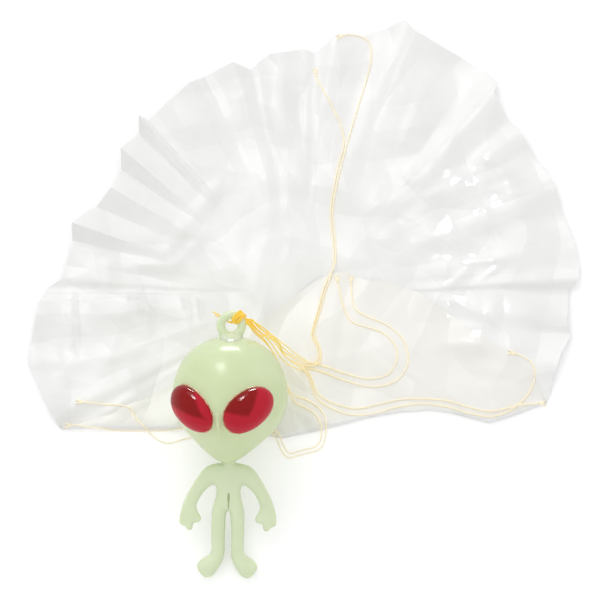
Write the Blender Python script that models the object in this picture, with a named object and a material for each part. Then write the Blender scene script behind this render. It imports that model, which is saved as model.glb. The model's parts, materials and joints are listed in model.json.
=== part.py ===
"""Toy parachute, laid out flat: a moulded figure on its back, eight thread lines and a pleated film canopy.

The figure lies with its feet towards -Y. The canopy lies flat towards +Y, with its near part folded
over on top along a hem, and the lines run over it from the knot on the figure's ring to its rim.
"""

import math

import bmesh
import bpy
from mathutils import Matrix, Vector
from mathutils.bvhtree import BVHTree
from mathutils.kdtree import KDTree

# Clearance between pieces that touch on the real toy.
GAP = 0.0003
# How far a cutter runs past what it cuts.
OVERRUN = 0.002

# Head, an inverted egg in two moulded halves.
HEAD_RADIUS = 0.0136
HEAD_HEIGHT = 0.0296
HEAD_WALL = 0.0026
HEAD_YAW = math.radians(-11)
CHIN_FORWARD = 0.0026
CHIN_CLEARANCE = 0.0004
CHIN_BEND_SHARE = 0.42
HEAD_SIDES = 36

# Height over the chin and radius, as shares of the head's height and radius.
HEAD_PROFILE_SHARES = (
    (0.0, 0.10), (0.03, 0.23), (0.095, 0.42), (0.16, 0.575), (0.225, 0.72), (0.29, 0.835),
    (0.355, 0.92), (0.45, 0.99), (0.545, 1.0), (0.64, 0.975), (0.735, 0.905), (0.81, 0.82),
    (0.87, 0.715), (0.925, 0.56), (0.97, 0.365), (0.995, 0.15),
)

# Eyes, domed pads that follow the head's curve in sockets.
EYE_LENGTH = 0.0132
EYE_WIDTH = 0.0088
EYE_BULGE = 0.0017
EYE_DEPTH = 0.0009
EYE_LIFT = 0.0003
EYE_BEARING = math.radians(31.4)
EYE_TILT = math.radians(36)
EYE_HEIGHT_SHARE = 0.435
EYE_RINGS = 5
EYE_SIDES = 24

# Hanging ring and its collar.
RING_RADIUS = 0.00248
RING_BAR_RADIUS = 0.00104
COLLAR_RADIUS = 0.0023
COLLAR_THICKNESS = 0.0002
COLLAR_STEP = 0.0001
RING_PEG_RADIUS = 0.0012
RING_PEG_LENGTH = 0.0030
RING_SEGMENTS = 28
RING_BAR_SIDES = 12

# Knot of thread round the ring's bar.
KNOT_BEARING = math.radians(42)
KNOT_BAND = 0.0022
KNOT_THICKNESS = 0.0008
KNOT_LUMP_RADIUS = 0.0010
LUMP_BEARING = math.radians(84)
KNOT_SIDES = 16

# Body, moulded in one piece with arms, legs and neck peg.
BODY_HEIGHT = 0.0275
ARM_SPAN = 0.0229
BODY_DEPTH = 0.0044
NECK_PEG_RADIUS = 0.0016
NECK_PEG_LENGTH = 0.0056
NECK_PEG_ROOT = 0.0016

# Each knob of the body: name, knob it grows from, place (shares of half the arm span, of the body's
# height and of its depth), half width and half depth (shares of half the arm span).
BODY_SHARES = (
    ("neck", None, (0.0, -0.005, 0.0), (0.17, 0.15)),
    ("chest", "neck", (0.0, -0.085, 0.0), (0.28, 0.20)),
    ("belly", "chest", (0.0, -0.21, 0.0), (0.285, 0.19)),
    ("hip", "belly", (0.0, -0.295, 0.0), (0.30, 0.19)),
)
LIMB_SHARES = (
    ("shoulder", "chest", (0.42, -0.088, 0.0), (0.15, 0.135)),
    ("elbow", "shoulder", (0.67, -0.235, 0.0), (0.135, 0.125)),
    ("wrist", "elbow", (0.815, -0.37, 0.02), (0.135, 0.11)),
    ("palm", "wrist", (0.845, -0.465, 0.05), (0.185, 0.10)),
    ("thumb", "palm", (0.60, -0.50, 0.06), (0.075, 0.07)),
    ("long_finger", "palm", (0.80, -0.585, 0.05), (0.075, 0.07)),
    ("outer_finger", "palm", (0.94, -0.55, 0.05), (0.075, 0.07)),
    ("thigh", "hip", (0.205, -0.42, 0.0), (0.15, 0.165)),
    ("ankle", "thigh", (0.205, -0.80, 0.0), (0.14, 0.155)),
    ("toe", "ankle", (0.53, -0.95, 0.10), (0.20, 0.17)),
)
HEEL_HEIGHT_SHARE = 0.86
HEEL_BACK_SHARE = 0.145

# Place of the figure's neck on the ground plan, and its lean seen from above.
NECK_X = -0.0177
NECK_Y = -0.0451
FIGURE_LEAN = math.radians(1.0)

# Canopy, a disc of film. Its near part folds over on top along a hem.
CANOPY_RADIUS = 0.075
FILM = 0.0004
FOLD_RADIUS = 0.0007
PLEAT_RISE = 0.006
LAP_RISE = 0.0012
HEM_Y = -0.0333
HEM_FADE = 0.025
RAYS_FLAT_SHARE = 0.32
PLEAT_CURVE = 1.25
FOLD_STEPS = 3

# The far rim from the right corner round to the left one: x, y (shares of the canopy's radius)
# and rise (share of the pleats' rise).
FAR_RIM_SHARES = (
    (0.785, -0.43, 0.10), (0.825, -0.255, 0.50), (0.865, -0.155, 0.15), (0.85, -0.095, 0.50),
    (0.86, 0.015, 0.10), (0.89, 0.035, 0.55), (0.895, 0.095, 0.20), (0.88, 0.165, 0.50),
    (0.85, 0.265, 0.10), (0.825, 0.36, 0.60), (0.76, 0.46, 0.10), (0.715, 0.555, 0.60),
    (0.66, 0.60, 0.10), (0.63, 0.69, 0.80), (0.645, 0.735, 0.30), (0.515, 0.84, 0.0),
    (0.37, 0.915, 0.50), (0.34, 0.95, 0.65), (0.215, 0.905, 0.10), (0.115, 0.905, 0.45),
    (0.04, 0.845, 0.0), (0.005, 0.855, 0.30), (-0.115, 0.83, 0.50), (-0.18, 0.79, 0.0),
    (-0.235, 0.805, 0.40), (-0.33, 0.76, 0.10), (-0.38, 0.715, 0.80), (-0.515, 0.605, 0.10),
    (-0.545, 0.61, 0.90), (-0.545, 0.555, 0.20), (-0.60, 0.495, 1.0), (-0.60, 0.43, 0.10),
    (-0.605, 0.365, 0.90), (-0.68, 0.30, 0.10), (-0.755, 0.24, 0.90), (-0.755, 0.18, 0.20),
    (-0.785, 0.045, 0.70), (-0.83, 0.02, 0.20), (-0.86, -0.045, 0.50), (-0.89, -0.23, 0.10),
    (-0.80, -0.42, 0.45),
)
# The lap's rim as it lies after folding, from the left corner to the right one.
LAP_RIM_SHARES = (
    (-0.775, -0.46, 0.0), (-0.72, -0.435, 0.3), (-0.635, -0.405, 0.2), (-0.565, -0.375, 0.5),
    (-0.51, -0.353, 0.2), (-0.42, -0.305, 0.4), (-0.335, -0.25, 0.2), (-0.27, -0.195, 0.1),
    (-0.19, -0.133, 0.2), (-0.115, -0.07, 0.4), (-0.023, 0.0, 0.5), (0.05, 0.052, 0.8),
    (0.117, 0.077, 1.0), (0.15, 0.064, 0.6), (0.208, 0.044, 0.9), (0.28, 0.04, 0.6),
    (0.375, 0.003, 0.8), (0.47, -0.067, 0.4), (0.568, -0.145, 0.6), (0.657, -0.212, 0.5),
    (0.725, -0.29, 0.4), (0.76, -0.40, 0.3), (0.775, -0.46, 0.0),
)
# How far the hem swings off its line: x and shift along Y, shares of the canopy's radius.
HEM_SHARES = (
    (-0.80, -0.005), (-0.70, 0.0), (-0.40, 0.0), (-0.235, -0.01), (-0.067, -0.032),
    (0.025, -0.013), (0.115, 0.01), (0.21, 0.036), (0.31, 0.054), (0.405, 0.06),
    (0.47, 0.05), (0.53, 0.034), (0.595, 0.017), (0.675, 0.043), (0.725, 0.063), (0.80, 0.09),
)

# Suspension lines, each a thread from the ring's knot to a knot at the rim, with the gap kept
# between threads that lie against each other.
LINE_RADIUS = 0.00015
LINE_GAP = 0.00015
LINE_STEPS = 2
LAY_CHECK_COUNT = 8
LAY_ROUND_COUNT = 2
CONTACT_SHARES = (0.5, 0.85, 1.0)
CONTACT_SIDES = 12
RIM_KNOT_RADIUS = 0.0006
RIM_KNOT_HEIGHT_SHARE = 0.6

# Where the lines leave the ring's knot: sideways and upward from its middle, shares of its lump's
# radius.
LINE_START_SHARES = (
    (0.75, 0.28), (-0.25, 0.28), (0.25, 0.28), (-0.75, 0.28),
    (-0.25, -0.28), (-0.75, -0.28), (0.25, -0.28), (0.75, -0.28),
)
# The lines from the lowest one to the topmost.
LAYING_ORDER = (6, 5, 7, 8, 4, 2, 1, 3)
# Routes of the lines from the ring's knot to the rim: x, y and the least height, which the film and
# the lines underneath raise.
LINE_ROUTES = (
    (
        (-0.0092, -0.0154, 0.0175), (-0.0069, -0.0164, 0.0145), (-0.0048, -0.0173, 0.0115),
        (-0.0029, -0.0177, 0.0075), (-0.0007, -0.0175, 0.0035), (0.0014, -0.0180, 0),
        (0.0030, -0.0175, 0), (0.0035, -0.0161, 0), (0.0031, -0.0138, 0), (0.0021, -0.0115, 0),
        (0.0020, -0.0097, 0), (0.0034, -0.0044, 0), (0.0046, 0.0005, 0), (0.0060, 0.0041, 0),
        (0.0072, 0.0064, 0), (0.0078, 0.0095, 0), (0.0077, 0.0137, 0), (0.0071, 0.0202, 0),
        (0.0075, 0.0254, 0), (0.0092, 0.0333, 0), (0.0109, 0.0400, 0), (0.0129, 0.0469, 0),
        (0.0152, 0.0547, 0), (0.0167, 0.0609, 0), (0.0167, 0.0655, 0), (0.0148, 0.0676, 0),
        (0.0116, 0.0681, 0), (0.0096, 0.0677, 0),
    ),
    (
        (-0.0097, -0.0159, 0.0172), (-0.0074, -0.0169, 0.0142), (-0.0053, -0.0177, 0.0112),
        (-0.0034, -0.0180, 0.0075), (-0.0010, -0.0181, 0.0035), (0.0014, -0.0187, 0),
        (0.0036, -0.0181, 0), (0.0041, -0.0161, 0), (0.0036, -0.0135, 0), (0.0027, -0.0113, 0),
        (0.0025, -0.0095, 0), (0.0039, -0.0046, 0), (0.0052, 0.0005, 0), (0.0063, 0.0036, 0),
        (0.0072, 0.0080, 0), (0.0071, 0.0137, 0), (0.0065, 0.0199, 0), (0.0069, 0.0252, 0),
        (0.0084, 0.0331, 0), (0.0099, 0.0392, 0), (0.0092, 0.0442, 0), (0.0072, 0.0485, 0),
        (0.0053, 0.0525, 0), (0.0034, 0.0558, 0), (0.0030, 0.0579, 0),
    ),
    (
        (-0.0089, -0.0150, 0.0178), (-0.0064, -0.0160, 0.0148), (-0.0041, -0.0169, 0.0118),
        (-0.0019, -0.0176, 0.0080), (0.0005, -0.0180, 0.0040), (0.0029, -0.0183, 0),
        (0.0058, -0.0191, 0), (0.0101, -0.0206, 0), (0.0154, -0.0219, 0), (0.0200, -0.0209, 0),
        (0.0224, -0.0173, 0), (0.0220, -0.0133, 0), (0.0191, -0.0102, 0), (0.0150, -0.0087, 0),
        (0.0116, -0.0074, 0), (0.0100, -0.0046, 0), (0.0090, -0.0010, 0), (0.0082, 0.0031, 0),
    ),
    (
        (-0.0101, -0.0163, 0.0169), (-0.0079, -0.0173, 0.0139), (-0.0057, -0.0181, 0.0109),
        (-0.0037, -0.0187, 0.0075), (-0.0010, -0.0189, 0.0035), (0.0022, -0.0195, 0),
        (0.0053, -0.0206, 0), (0.0101, -0.0224, 0), (0.0164, -0.0239, 0), (0.0221, -0.0224, 0),
        (0.0251, -0.0178, 0), (0.0242, -0.0123, 0), (0.0206, -0.0085, 0), (0.0162, -0.0064, 0),
        (0.0129, -0.0046, 0), (0.0117, -0.0013, 0), (0.0115, 0.0031, 0),
    ),
    (
        (-0.0114, -0.0151, 0.0178), (-0.0094, -0.0168, 0.0165), (-0.0074, -0.0193, 0.0150),
        (-0.0056, -0.0222, 0.0125), (-0.0043, -0.0249, 0.0090), (-0.0034, -0.0260, 0.0050),
        (-0.0019, -0.0264, 0.0024), (-0.0002, -0.0268, 0), (0.0019, -0.0279, 0), (0.0038, -0.0294, 0),
        (0.0050, -0.0314, 0), (0.0053, -0.0341, 0), (0.0049, -0.0371, 0), (0.0036, -0.0391, 0),
        (0.0009, -0.0400, 0), (-0.0017, -0.0407, 0), (-0.0038, -0.0412, 0), (-0.0054, -0.0393, 0),
        (-0.0066, -0.0366, 0), (-0.0086, -0.0349, 0), (-0.0120, -0.0349, 0), (-0.0153, -0.0354, 0),
        (-0.0213, -0.0361, 0), (-0.0273, -0.0362, 0), (-0.0306, -0.0371, 0), (-0.0332, -0.0375, 0),
        (-0.0359, -0.0361, 0), (-0.0383, -0.0338, 0), (-0.0406, -0.0314, 0), (-0.0415, -0.0294, 0),
        (-0.0439, -0.0284, 0), (-0.0476, -0.0281, 0), (-0.0509, -0.0279, 0), (-0.0533, -0.0278, 0),
    ),
    (
        (-0.0117, -0.0153, 0.0174), (-0.0095, -0.0169, 0.0162), (-0.0073, -0.0190, 0.0138),
        (-0.0055, -0.0218, 0.0106), (-0.0043, -0.0245, 0.0070), (-0.0036, -0.0262, 0.0040),
        (-0.0024, -0.0276, 0.0022), (-0.0007, -0.0286, 0), (0.0017, -0.0299, 0), (0.0033, -0.0316, 0),
        (0.0042, -0.0341, 0), (0.0039, -0.0369, 0), (0.0025, -0.0385, 0), (-0.0005, -0.0393, 0),
        (-0.0034, -0.0401, 0), (-0.0049, -0.0381, 0), (-0.0060, -0.0358, 0), (-0.0086, -0.0339, 0),
        (-0.0125, -0.0338, 0), (-0.0177, -0.0338, 0), (-0.0249, -0.0340, 0), (-0.0321, -0.0343, 0),
        (-0.0393, -0.0344, 0), (-0.0460, -0.0343, 0), (-0.0513, -0.0339, 0), (-0.0558, -0.0333, 0),
    ),
    (
        (-0.0108, -0.0149, 0.0181), (-0.0088, -0.0163, 0.0167), (-0.0070, -0.0183, 0.0150),
        (-0.0055, -0.0199, 0.0125), (-0.0038, -0.0205, 0.0090), (-0.0019, -0.0202, 0.0050),
        (-0.0002, -0.0197, 0), (0.0010, -0.0211, 0), (0.0017, -0.0231, 0), (0.0024, -0.0256, 0),
        (0.0038, -0.0276, 0), (0.0069, -0.0294, 0), (0.0110, -0.0308, 0), (0.0163, -0.0306, 0),
        (0.0218, -0.0290, 0), (0.0278, -0.0281, 0), (0.0341, -0.0288, 0), (0.0393, -0.0304, 0),
        (0.0441, -0.0313, 0), (0.0482, -0.0304, 0), (0.0519, -0.0279, 0), (0.0543, -0.0249, 0),
        (0.0556, -0.0214, 0), (0.0550, -0.0181, 0), (0.0526, -0.0163, 0), (0.0507, -0.0156, 0),
    ),
    (
        (-0.0104, -0.0145, 0.0184), (-0.0083, -0.0158, 0.0170), (-0.0064, -0.0177, 0.0150),
        (-0.0048, -0.0192, 0.0123), (-0.0030, -0.0198, 0.0090), (-0.0012, -0.0197, 0.0050),
        (0.0006, -0.0199, 0), (0.0019, -0.0219, 0), (0.0029, -0.0249, 0), (0.0048, -0.0269, 0),
        (0.0082, -0.0284, 0), (0.0129, -0.0293, 0), (0.0182, -0.0281, 0), (0.0235, -0.0270, 0),
        (0.0291, -0.0269, 0), (0.0346, -0.0274, 0), (0.0398, -0.0290, 0), (0.0446, -0.0300, 0),
        (0.0489, -0.0291, 0), (0.0528, -0.0283, 0), (0.0567, -0.0279, 0),
    ),
)


def clear_scene():
    for old in list(bpy.data.objects):
        bpy.data.objects.remove(old)


def plastic(name, colour, roughness):
    finish = bpy.data.materials.new(name)
    finish.use_nodes = True
    shader = finish.node_tree.nodes["Principled BSDF"]
    shader.inputs["Base Color"].default_value = (*colour, 1)
    shader.inputs["Roughness"].default_value = roughness
    shader.inputs["Metallic"].default_value = 0
    return finish


def add_object(name, data, parent=None, finish=None):
    made = bpy.data.objects.new(name, data)
    bpy.context.collection.objects.link(made)
    made.parent = parent
    if finish:
        data.materials.append(finish)
    return made


def mesh_from(name, form):
    bmesh.ops.recalc_face_normals(form, faces=form.faces)
    mesh = bpy.data.meshes.new(name)
    form.to_mesh(mesh)
    form.free()
    mesh.shade_smooth()
    mesh.set_sharp_from_angle(angle=math.radians(40))
    return mesh


def add_empty(name, place, turn, parent=None):
    made = bpy.data.objects.new(name, None)
    bpy.context.collection.objects.link(made)
    made.rotation_mode = "ZYX"
    made.location = place
    made.rotation_euler = turn
    made.parent = parent
    return made


def add_cutter(name, mesh, parent):
    made = add_object(name, mesh, parent)
    made.hide_render = True
    made.display_type = "WIRE"
    return made


def boolean(target, other, operation):
    step = target.modifiers.new(f"{operation.lower()}_{other.name}", "BOOLEAN")
    step.operation = operation
    step.object = other


def between(table, place):
    """Value of a table of pairs at a place, read along straight lines."""
    for (x0, v0), (x1, v1) in zip(table, table[1:]):
        if place <= x1:
            return v0 + (v1 - v0) * max(0, place - x0) / (x1 - x0)
    return table[-1][1]


def head_radius(height):
    """Radius of the head at a height over its chin."""
    share = min(max(height / HEAD_HEIGHT, 0), 1)
    return HEAD_RADIUS * between(HEAD_PROFILE_SHARES, share)


def chin_shift(height):
    """How far forward the head's centre lies at a height over its chin."""
    share = max(0, 1 - height / HEAD_HEIGHT / CHIN_BEND_SHARE)
    return CHIN_FORWARD * share**2


def head_point(bearing, height, out=0):
    """Point on the head's skin, or a distance out from it, at a bearing from the nose."""
    step = HEAD_HEIGHT / HEAD_SIDES
    slope = (head_radius(height + step) - head_radius(height - step)) / (2 * step)
    lean = math.atan(slope)
    reach = head_radius(height) + out * math.cos(lean)
    return Vector((
        reach * math.sin(bearing),
        height + CHIN_CLEARANCE - out * math.sin(lean),
        reach * math.cos(bearing) + chin_shift(height),
    ))


def head_drop(tilt):
    """How far the head's back reaches under the neck when the figure is tilted."""
    reaches = []
    for share, radius in HEAD_PROFILE_SHARES:
        height = share * HEAD_HEIGHT
        back = radius * HEAD_RADIUS - chin_shift(height)
        reaches.append(back * math.cos(tilt) - (height + CHIN_CLEARANCE) * math.sin(tilt))
    return max(reaches)


def neck_height(tilt):
    return 2 * FOLD_RADIUS + GAP + head_drop(tilt)


def resting_tilt():
    """Tilt at which the head's back lies on the lap and the heels on the ground."""
    low, high = 0, math.pi / 4
    for _ in range(40):
        tilt = (low + high) / 2
        heel = HEEL_HEIGHT_SHARE * BODY_HEIGHT * math.sin(tilt)
        heel += HEEL_BACK_SHARE * ARM_SPAN / 2 * math.cos(tilt)
        if neck_height(tilt) - heel > GAP:
            low = tilt
        else:
            high = tilt
    return low


def egg(name, inset):
    """Closed egg of the head's outline, drawn in by an inset."""
    form = bmesh.new()
    rings = []
    middle = HEAD_HEIGHT / 2
    squeeze = 1 - inset / middle
    for share, radius in HEAD_PROFILE_SHARES:
        height = middle + (share * HEAD_HEIGHT - middle) * squeeze
        reach = radius * HEAD_RADIUS * (1 - inset / HEAD_RADIUS)
        ring = []
        for side in range(HEAD_SIDES):
            bearing = math.tau * side / HEAD_SIDES
            ring.append(form.verts.new((
                reach * math.sin(bearing),
                height + CHIN_CLEARANCE,
                reach * math.cos(bearing) + chin_shift(height),
            )))
        rings.append(ring)
    for lower, upper in zip(rings, rings[1:]):
        for side in range(HEAD_SIDES):
            after = (side + 1) % HEAD_SIDES
            form.faces.new((lower[side], lower[after], upper[after], upper[side]))
    form.faces.new(rings[0])
    form.faces.new(rings[-1])
    return mesh_from(name, form)


def block(name, low, high):
    form = bmesh.new()
    bmesh.ops.create_cube(form, size=1)
    size = Vector(high) - Vector(low)
    middle = (Vector(high) + Vector(low)) / 2
    bmesh.ops.transform(form, matrix=Matrix.LocRotScale(middle, None, size), verts=form.verts)
    return mesh_from(name, form)


def rod(name, radius, low, high, sides=20):
    """Cylinder along the figure's long axis."""
    form = bmesh.new()
    bmesh.ops.create_cone(
        form, cap_ends=True, segments=sides, radius1=radius, radius2=radius, depth=high - low
    )
    turn = Matrix.Rotation(math.pi / 2, 4, "X")
    bmesh.ops.transform(form, matrix=turn, verts=form.verts)
    bmesh.ops.translate(form, vec=(0, (low + high) / 2, 0), verts=form.verts)
    return mesh_from(name, form)


def eye_pad(name, side, spread, bulge, depth, lift):
    """Domed pad on the head's skin; side is -1 or 1, spread widens it all round."""
    form = bmesh.new()
    long_half = EYE_LENGTH / 2 + spread
    short_half = EYE_WIDTH / 2 + spread
    middle_height = EYE_HEIGHT_SHARE * HEAD_HEIGHT
    around = head_radius(middle_height)

    def place(share, angle, out):
        along = share * long_half * math.cos(angle)
        across = share * short_half * math.sin(angle)
        sideways = along * math.cos(EYE_TILT) - across * math.sin(EYE_TILT)
        upward = along * math.sin(EYE_TILT) + across * math.cos(EYE_TILT)
        bearing = side * (EYE_BEARING + sideways / around)
        return head_point(bearing, middle_height + upward, out)

    def layer(height_at):
        top = form.verts.new(place(0, 0, height_at(0)))
        rings = []
        for ring in range(1, EYE_RINGS + 1):
            share = math.sin(math.pi / 2 * ring / EYE_RINGS)
            rings.append([
                form.verts.new(place(share, math.tau * k / EYE_SIDES, height_at(share)))
                for k in range(EYE_SIDES)
            ])
        return top, rings

    outer = layer(lambda share: lift + bulge * math.sqrt(max(0, 1 - share**2)))
    inner = layer(lambda share: -depth)
    for top, rings in (outer, inner):
        for k in range(EYE_SIDES):
            after = (k + 1) % EYE_SIDES
            form.faces.new((top, rings[0][k], rings[0][after]))
            for near, far in zip(rings, rings[1:]):
                form.faces.new((near[k], far[k], far[after], near[after]))
    for k in range(EYE_SIDES):
        after = (k + 1) % EYE_SIDES
        form.faces.new((outer[1][-1][k], outer[1][-1][after], inner[1][-1][after], inner[1][-1][k]))
    return mesh_from(name, form)


def make_head(parent, green, red):
    """Front and back halves round one hollow, with sockets, eyes and holes for the pegs."""
    top = HEAD_HEIGHT + CHIN_CLEARANCE
    hollow = add_cutter("head_hollow", egg("head_hollow", HEAD_WALL), parent)
    reach = HEAD_RADIUS + CHIN_FORWARD + OVERRUN
    low, high = -OVERRUN, top + OVERRUN
    back_block = block("back_block", (-reach, low, -reach), (reach, high, GAP / 2))
    front_block = block("front_block", (-reach, low, -GAP / 2), (reach, high, reach))
    not_front = add_cutter("back_block", back_block, parent)
    not_back = add_cutter("front_block", front_block, parent)
    ring_hole = rod(
        "ring_hole", RING_PEG_RADIUS + GAP, top - RING_PEG_LENGTH - GAP, top + OVERRUN
    )
    ring_hole = add_cutter("ring_hole", ring_hole, parent)
    neck_hole = rod("neck_hole", NECK_PEG_RADIUS + GAP, -OVERRUN, NECK_PEG_LENGTH + GAP)
    neck_hole = add_cutter("neck_hole", neck_hole, parent)
    halves = []
    for name, other_half in (("head_front", not_front), ("head_back", not_back)):
        half = add_object(name, egg(name, 0), parent, green)
        for cutter in (hollow, other_half, ring_hole, neck_hole):
            boolean(half, cutter, "DIFFERENCE")
        halves.append(half)
    for side, word in ((-1, "left"), (1, "right")):
        socket = eye_pad(f"socket_{word}", side, GAP, EYE_BULGE + OVERRUN, EYE_DEPTH + GAP, EYE_LIFT)
        boolean(halves[0], add_cutter(f"socket_{word}", socket, parent), "DIFFERENCE")
        eye = eye_pad(f"eye_{word}", side, 0, EYE_BULGE, EYE_DEPTH, EYE_LIFT)
        add_object(f"eye_{word}", eye, parent, red)


def collar_height():
    """Height of the collar's top, over the flat crown of the head."""
    crown = HEAD_PROFILE_SHARES[-1][0] * HEAD_HEIGHT + CHIN_CLEARANCE
    return crown + GAP + COLLAR_THICKNESS


def ring_centre_height():
    return collar_height() + COLLAR_STEP - RING_BAR_RADIUS + RING_RADIUS


def knot_place():
    """Middle of the ring's bar where the thread is tied, in the figure's own frame."""
    out = RING_RADIUS
    return Vector((out * math.sin(KNOT_BEARING), ring_centre_height() + out * math.cos(KNOT_BEARING), 0))


def torus(form, radius, bar, segments, sides, matrix, flatten=1):
    """Ring round the Z axis of a matrix, with its bar flattened or widened along that axis."""
    rings = []
    for k in range(segments):
        turn = math.tau * k / segments
        ring = []
        for side in range(sides):
            angle = math.tau * side / sides
            reach = radius + bar * math.cos(angle)
            point = Vector((
                reach * math.cos(turn), reach * math.sin(turn), flatten * bar * math.sin(angle)
            ))
            ring.append(form.verts.new(matrix @ point))
        rings.append(ring)
    for k, ring in enumerate(rings):
        following = rings[(k + 1) % segments]
        for side in range(sides):
            after = (side + 1) % sides
            form.faces.new((ring[side], following[side], following[after], ring[after]))


def make_ring(parent, green):
    """Hanging ring, with a collar on the head's top and a peg into it."""
    peg_end = HEAD_HEIGHT + CHIN_CLEARANCE - RING_PEG_LENGTH
    form = bmesh.new()
    torus(
        form, RING_RADIUS, RING_BAR_RADIUS, RING_SEGMENTS, RING_BAR_SIDES,
        Matrix.Translation((0, ring_centre_height(), 0)),
    )
    ring = add_object("hanging_ring", mesh_from("hanging_ring", form), parent, green)
    collar = rod("collar", COLLAR_RADIUS, peg_end, collar_height())
    peg = rod("ring_peg", RING_PEG_RADIUS, peg_end, collar_height())
    boolean(ring, add_cutter("collar", collar, parent), "UNION")
    boolean(ring, add_cutter("dome", egg("dome", -GAP), parent), "DIFFERENCE")
    boolean(ring, add_cutter("ring_peg", peg, parent), "UNION")


def make_ring_knot(parent, thread):
    """Band of thread round the ring's bar, with the knot's lump on its outer side."""
    form = bmesh.new()
    inner = RING_BAR_RADIUS + GAP
    torus(
        form, inner + KNOT_THICKNESS / 2, KNOT_THICKNESS / 2, KNOT_SIDES, RING_BAR_SIDES,
        Matrix.Translation(knot_place())
        @ Matrix.Rotation(-KNOT_BEARING, 4, "Z")
        @ Matrix.Rotation(math.pi / 2, 4, "Y"),
        KNOT_BAND / KNOT_THICKNESS,
    )
    band = add_object("ring_knot", mesh_from("ring_knot", form), parent, thread)
    form = bmesh.new()
    bmesh.ops.create_icosphere(form, subdivisions=2, radius=KNOT_LUMP_RADIUS)
    bmesh.ops.translate(form, vec=knot_lump(), verts=form.verts)
    boolean(band, add_cutter("knot_lump", mesh_from("knot_lump", form), parent), "UNION")
    form = bmesh.new()
    torus(
        form, RING_RADIUS, inner, RING_SEGMENTS, RING_BAR_SIDES,
        Matrix.Translation((0, ring_centre_height(), 0)),
    )
    boolean(band, add_cutter("ring_way", mesh_from("ring_way", form), parent), "DIFFERENCE")


def knot_lump():
    out = RING_BAR_RADIUS + GAP + KNOT_THICKNESS
    way = Vector((math.sin(LUMP_BEARING), math.cos(LUMP_BEARING), 0))
    return knot_place() + out * way


def make_body(parent, green):
    """Body, arms and legs grown from a skeleton of knobs, and the neck peg."""
    half = ARM_SPAN / 2
    knobs = []
    for name, origin, place, girth in BODY_SHARES:
        knobs.append((name, origin, place, girth))
    for word, side in (("left", -1), ("right", 1)):
        for name, origin, place, girth in LIMB_SHARES:
            grows_from = origin if origin in ("chest", "hip") else f"{word}_{origin}"
            x, y, z = place
            knobs.append((f"{word}_{name}", grows_from, (side * x, y, z), girth))
    order = [knob[0] for knob in knobs]
    points = [(x * half, y * BODY_HEIGHT, z * BODY_DEPTH) for _, _, (x, y, z), _ in knobs]
    links = [(order.index(knob[1]), k) for k, knob in enumerate(knobs) if knob[1]]
    mesh = bpy.data.meshes.new("figure_body")
    mesh.from_pydata(points, links, [])
    body = add_object("figure_body", mesh, parent, green)
    skin = body.modifiers.new("flesh", "SKIN")
    skin.use_smooth_shade = True
    for knob, place in zip(knobs, mesh.skin_vertices[0].data):
        place.radius = [share * half for share in knob[3]]
    mesh.skin_vertices[0].data[order.index("hip")].use_root = True
    smooth = body.modifiers.new("smooth", "SUBSURF")
    smooth.levels = smooth.render_levels = 1
    peg = rod("neck_peg", NECK_PEG_RADIUS, -NECK_PEG_ROOT, NECK_PEG_LENGTH)
    boolean(body, add_cutter("neck_peg", peg, parent), "UNION")


def hem_shift(x, y):
    """How far the hem's swing moves a point of the folded film along Y."""
    swing = CANOPY_RADIUS * between(HEM_SHARES, x / CANOPY_RADIUS)
    return swing * max(0, 1 - max(0, y - HEM_Y) / HEM_FADE)


def folded(x, y, rise):
    """Outer face and inner face of the film over a point of the flat disc."""
    past = HEM_Y - y
    turn = math.pi * FOLD_RADIUS
    if past <= 0:
        outer, inward = Vector((x, y, rise)), Vector((0, 0, 1))
    elif past < turn:
        angle = past / FOLD_RADIUS
        inward = Vector((0, math.sin(angle), math.cos(angle)))
        outer = Vector((x, HEM_Y, FOLD_RADIUS)) - FOLD_RADIUS * inward
    else:
        outer = Vector((x, HEM_Y + past - turn, 2 * FOLD_RADIUS + rise))
        inward = Vector((0, 0, -1))
    outer.y += hem_shift(x, outer.y)
    return outer, outer + FILM * inward


def flat_rim():
    """Rim of the unfolded disc, as points with a rise, anticlockwise from the right corner."""
    rim = []
    for x, y, rise in FAR_RIM_SHARES:
        rim.append((x * CANOPY_RADIUS, y * CANOPY_RADIUS, rise * PLEAT_RISE))
    unfolded = 2 * HEM_Y - math.pi * FOLD_RADIUS
    for x, y, rise in LAP_RIM_SHARES:
        rim.append((x * CANOPY_RADIUS, unfolded - y * CANOPY_RADIUS, rise * LAP_RISE))
    return rim


def ray_shares(y):
    """Where the rings lie along a ray that ends at a rim point with this y."""
    count = 2 * FOLD_STEPS + 3
    even = [k / count for k in range(1, count + 1)]
    if y >= 0:
        return even
    hem = min(HEM_Y / y, 1 - 1 / count)
    turn = min(math.pi * FOLD_RADIUS / -y, 1 / count)
    before = [hem * k / (FOLD_STEPS + 1) for k in range(1, FOLD_STEPS + 2)]
    bend = [hem + turn * k / FOLD_STEPS for k in range(1, FOLD_STEPS + 1)]
    left = count - len(before) - len(bend)
    after = [bend[-1] + (1 - bend[-1]) * k / left for k in range(1, left + 1)]
    weight = min(1, y / HEM_Y)
    return [
        plain + weight * (hemmed - plain) for plain, hemmed in zip(even, before + bend + after)
    ]


def film_rise(share, rise, hem_share):
    """Height of the film along a ray; past the hem it counts from there."""
    start = RAYS_FLAT_SHARE if hem_share is None else hem_share
    if share <= start:
        return 0
    return rise * ((share - start) / (1 - start)) ** PLEAT_CURVE


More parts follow.
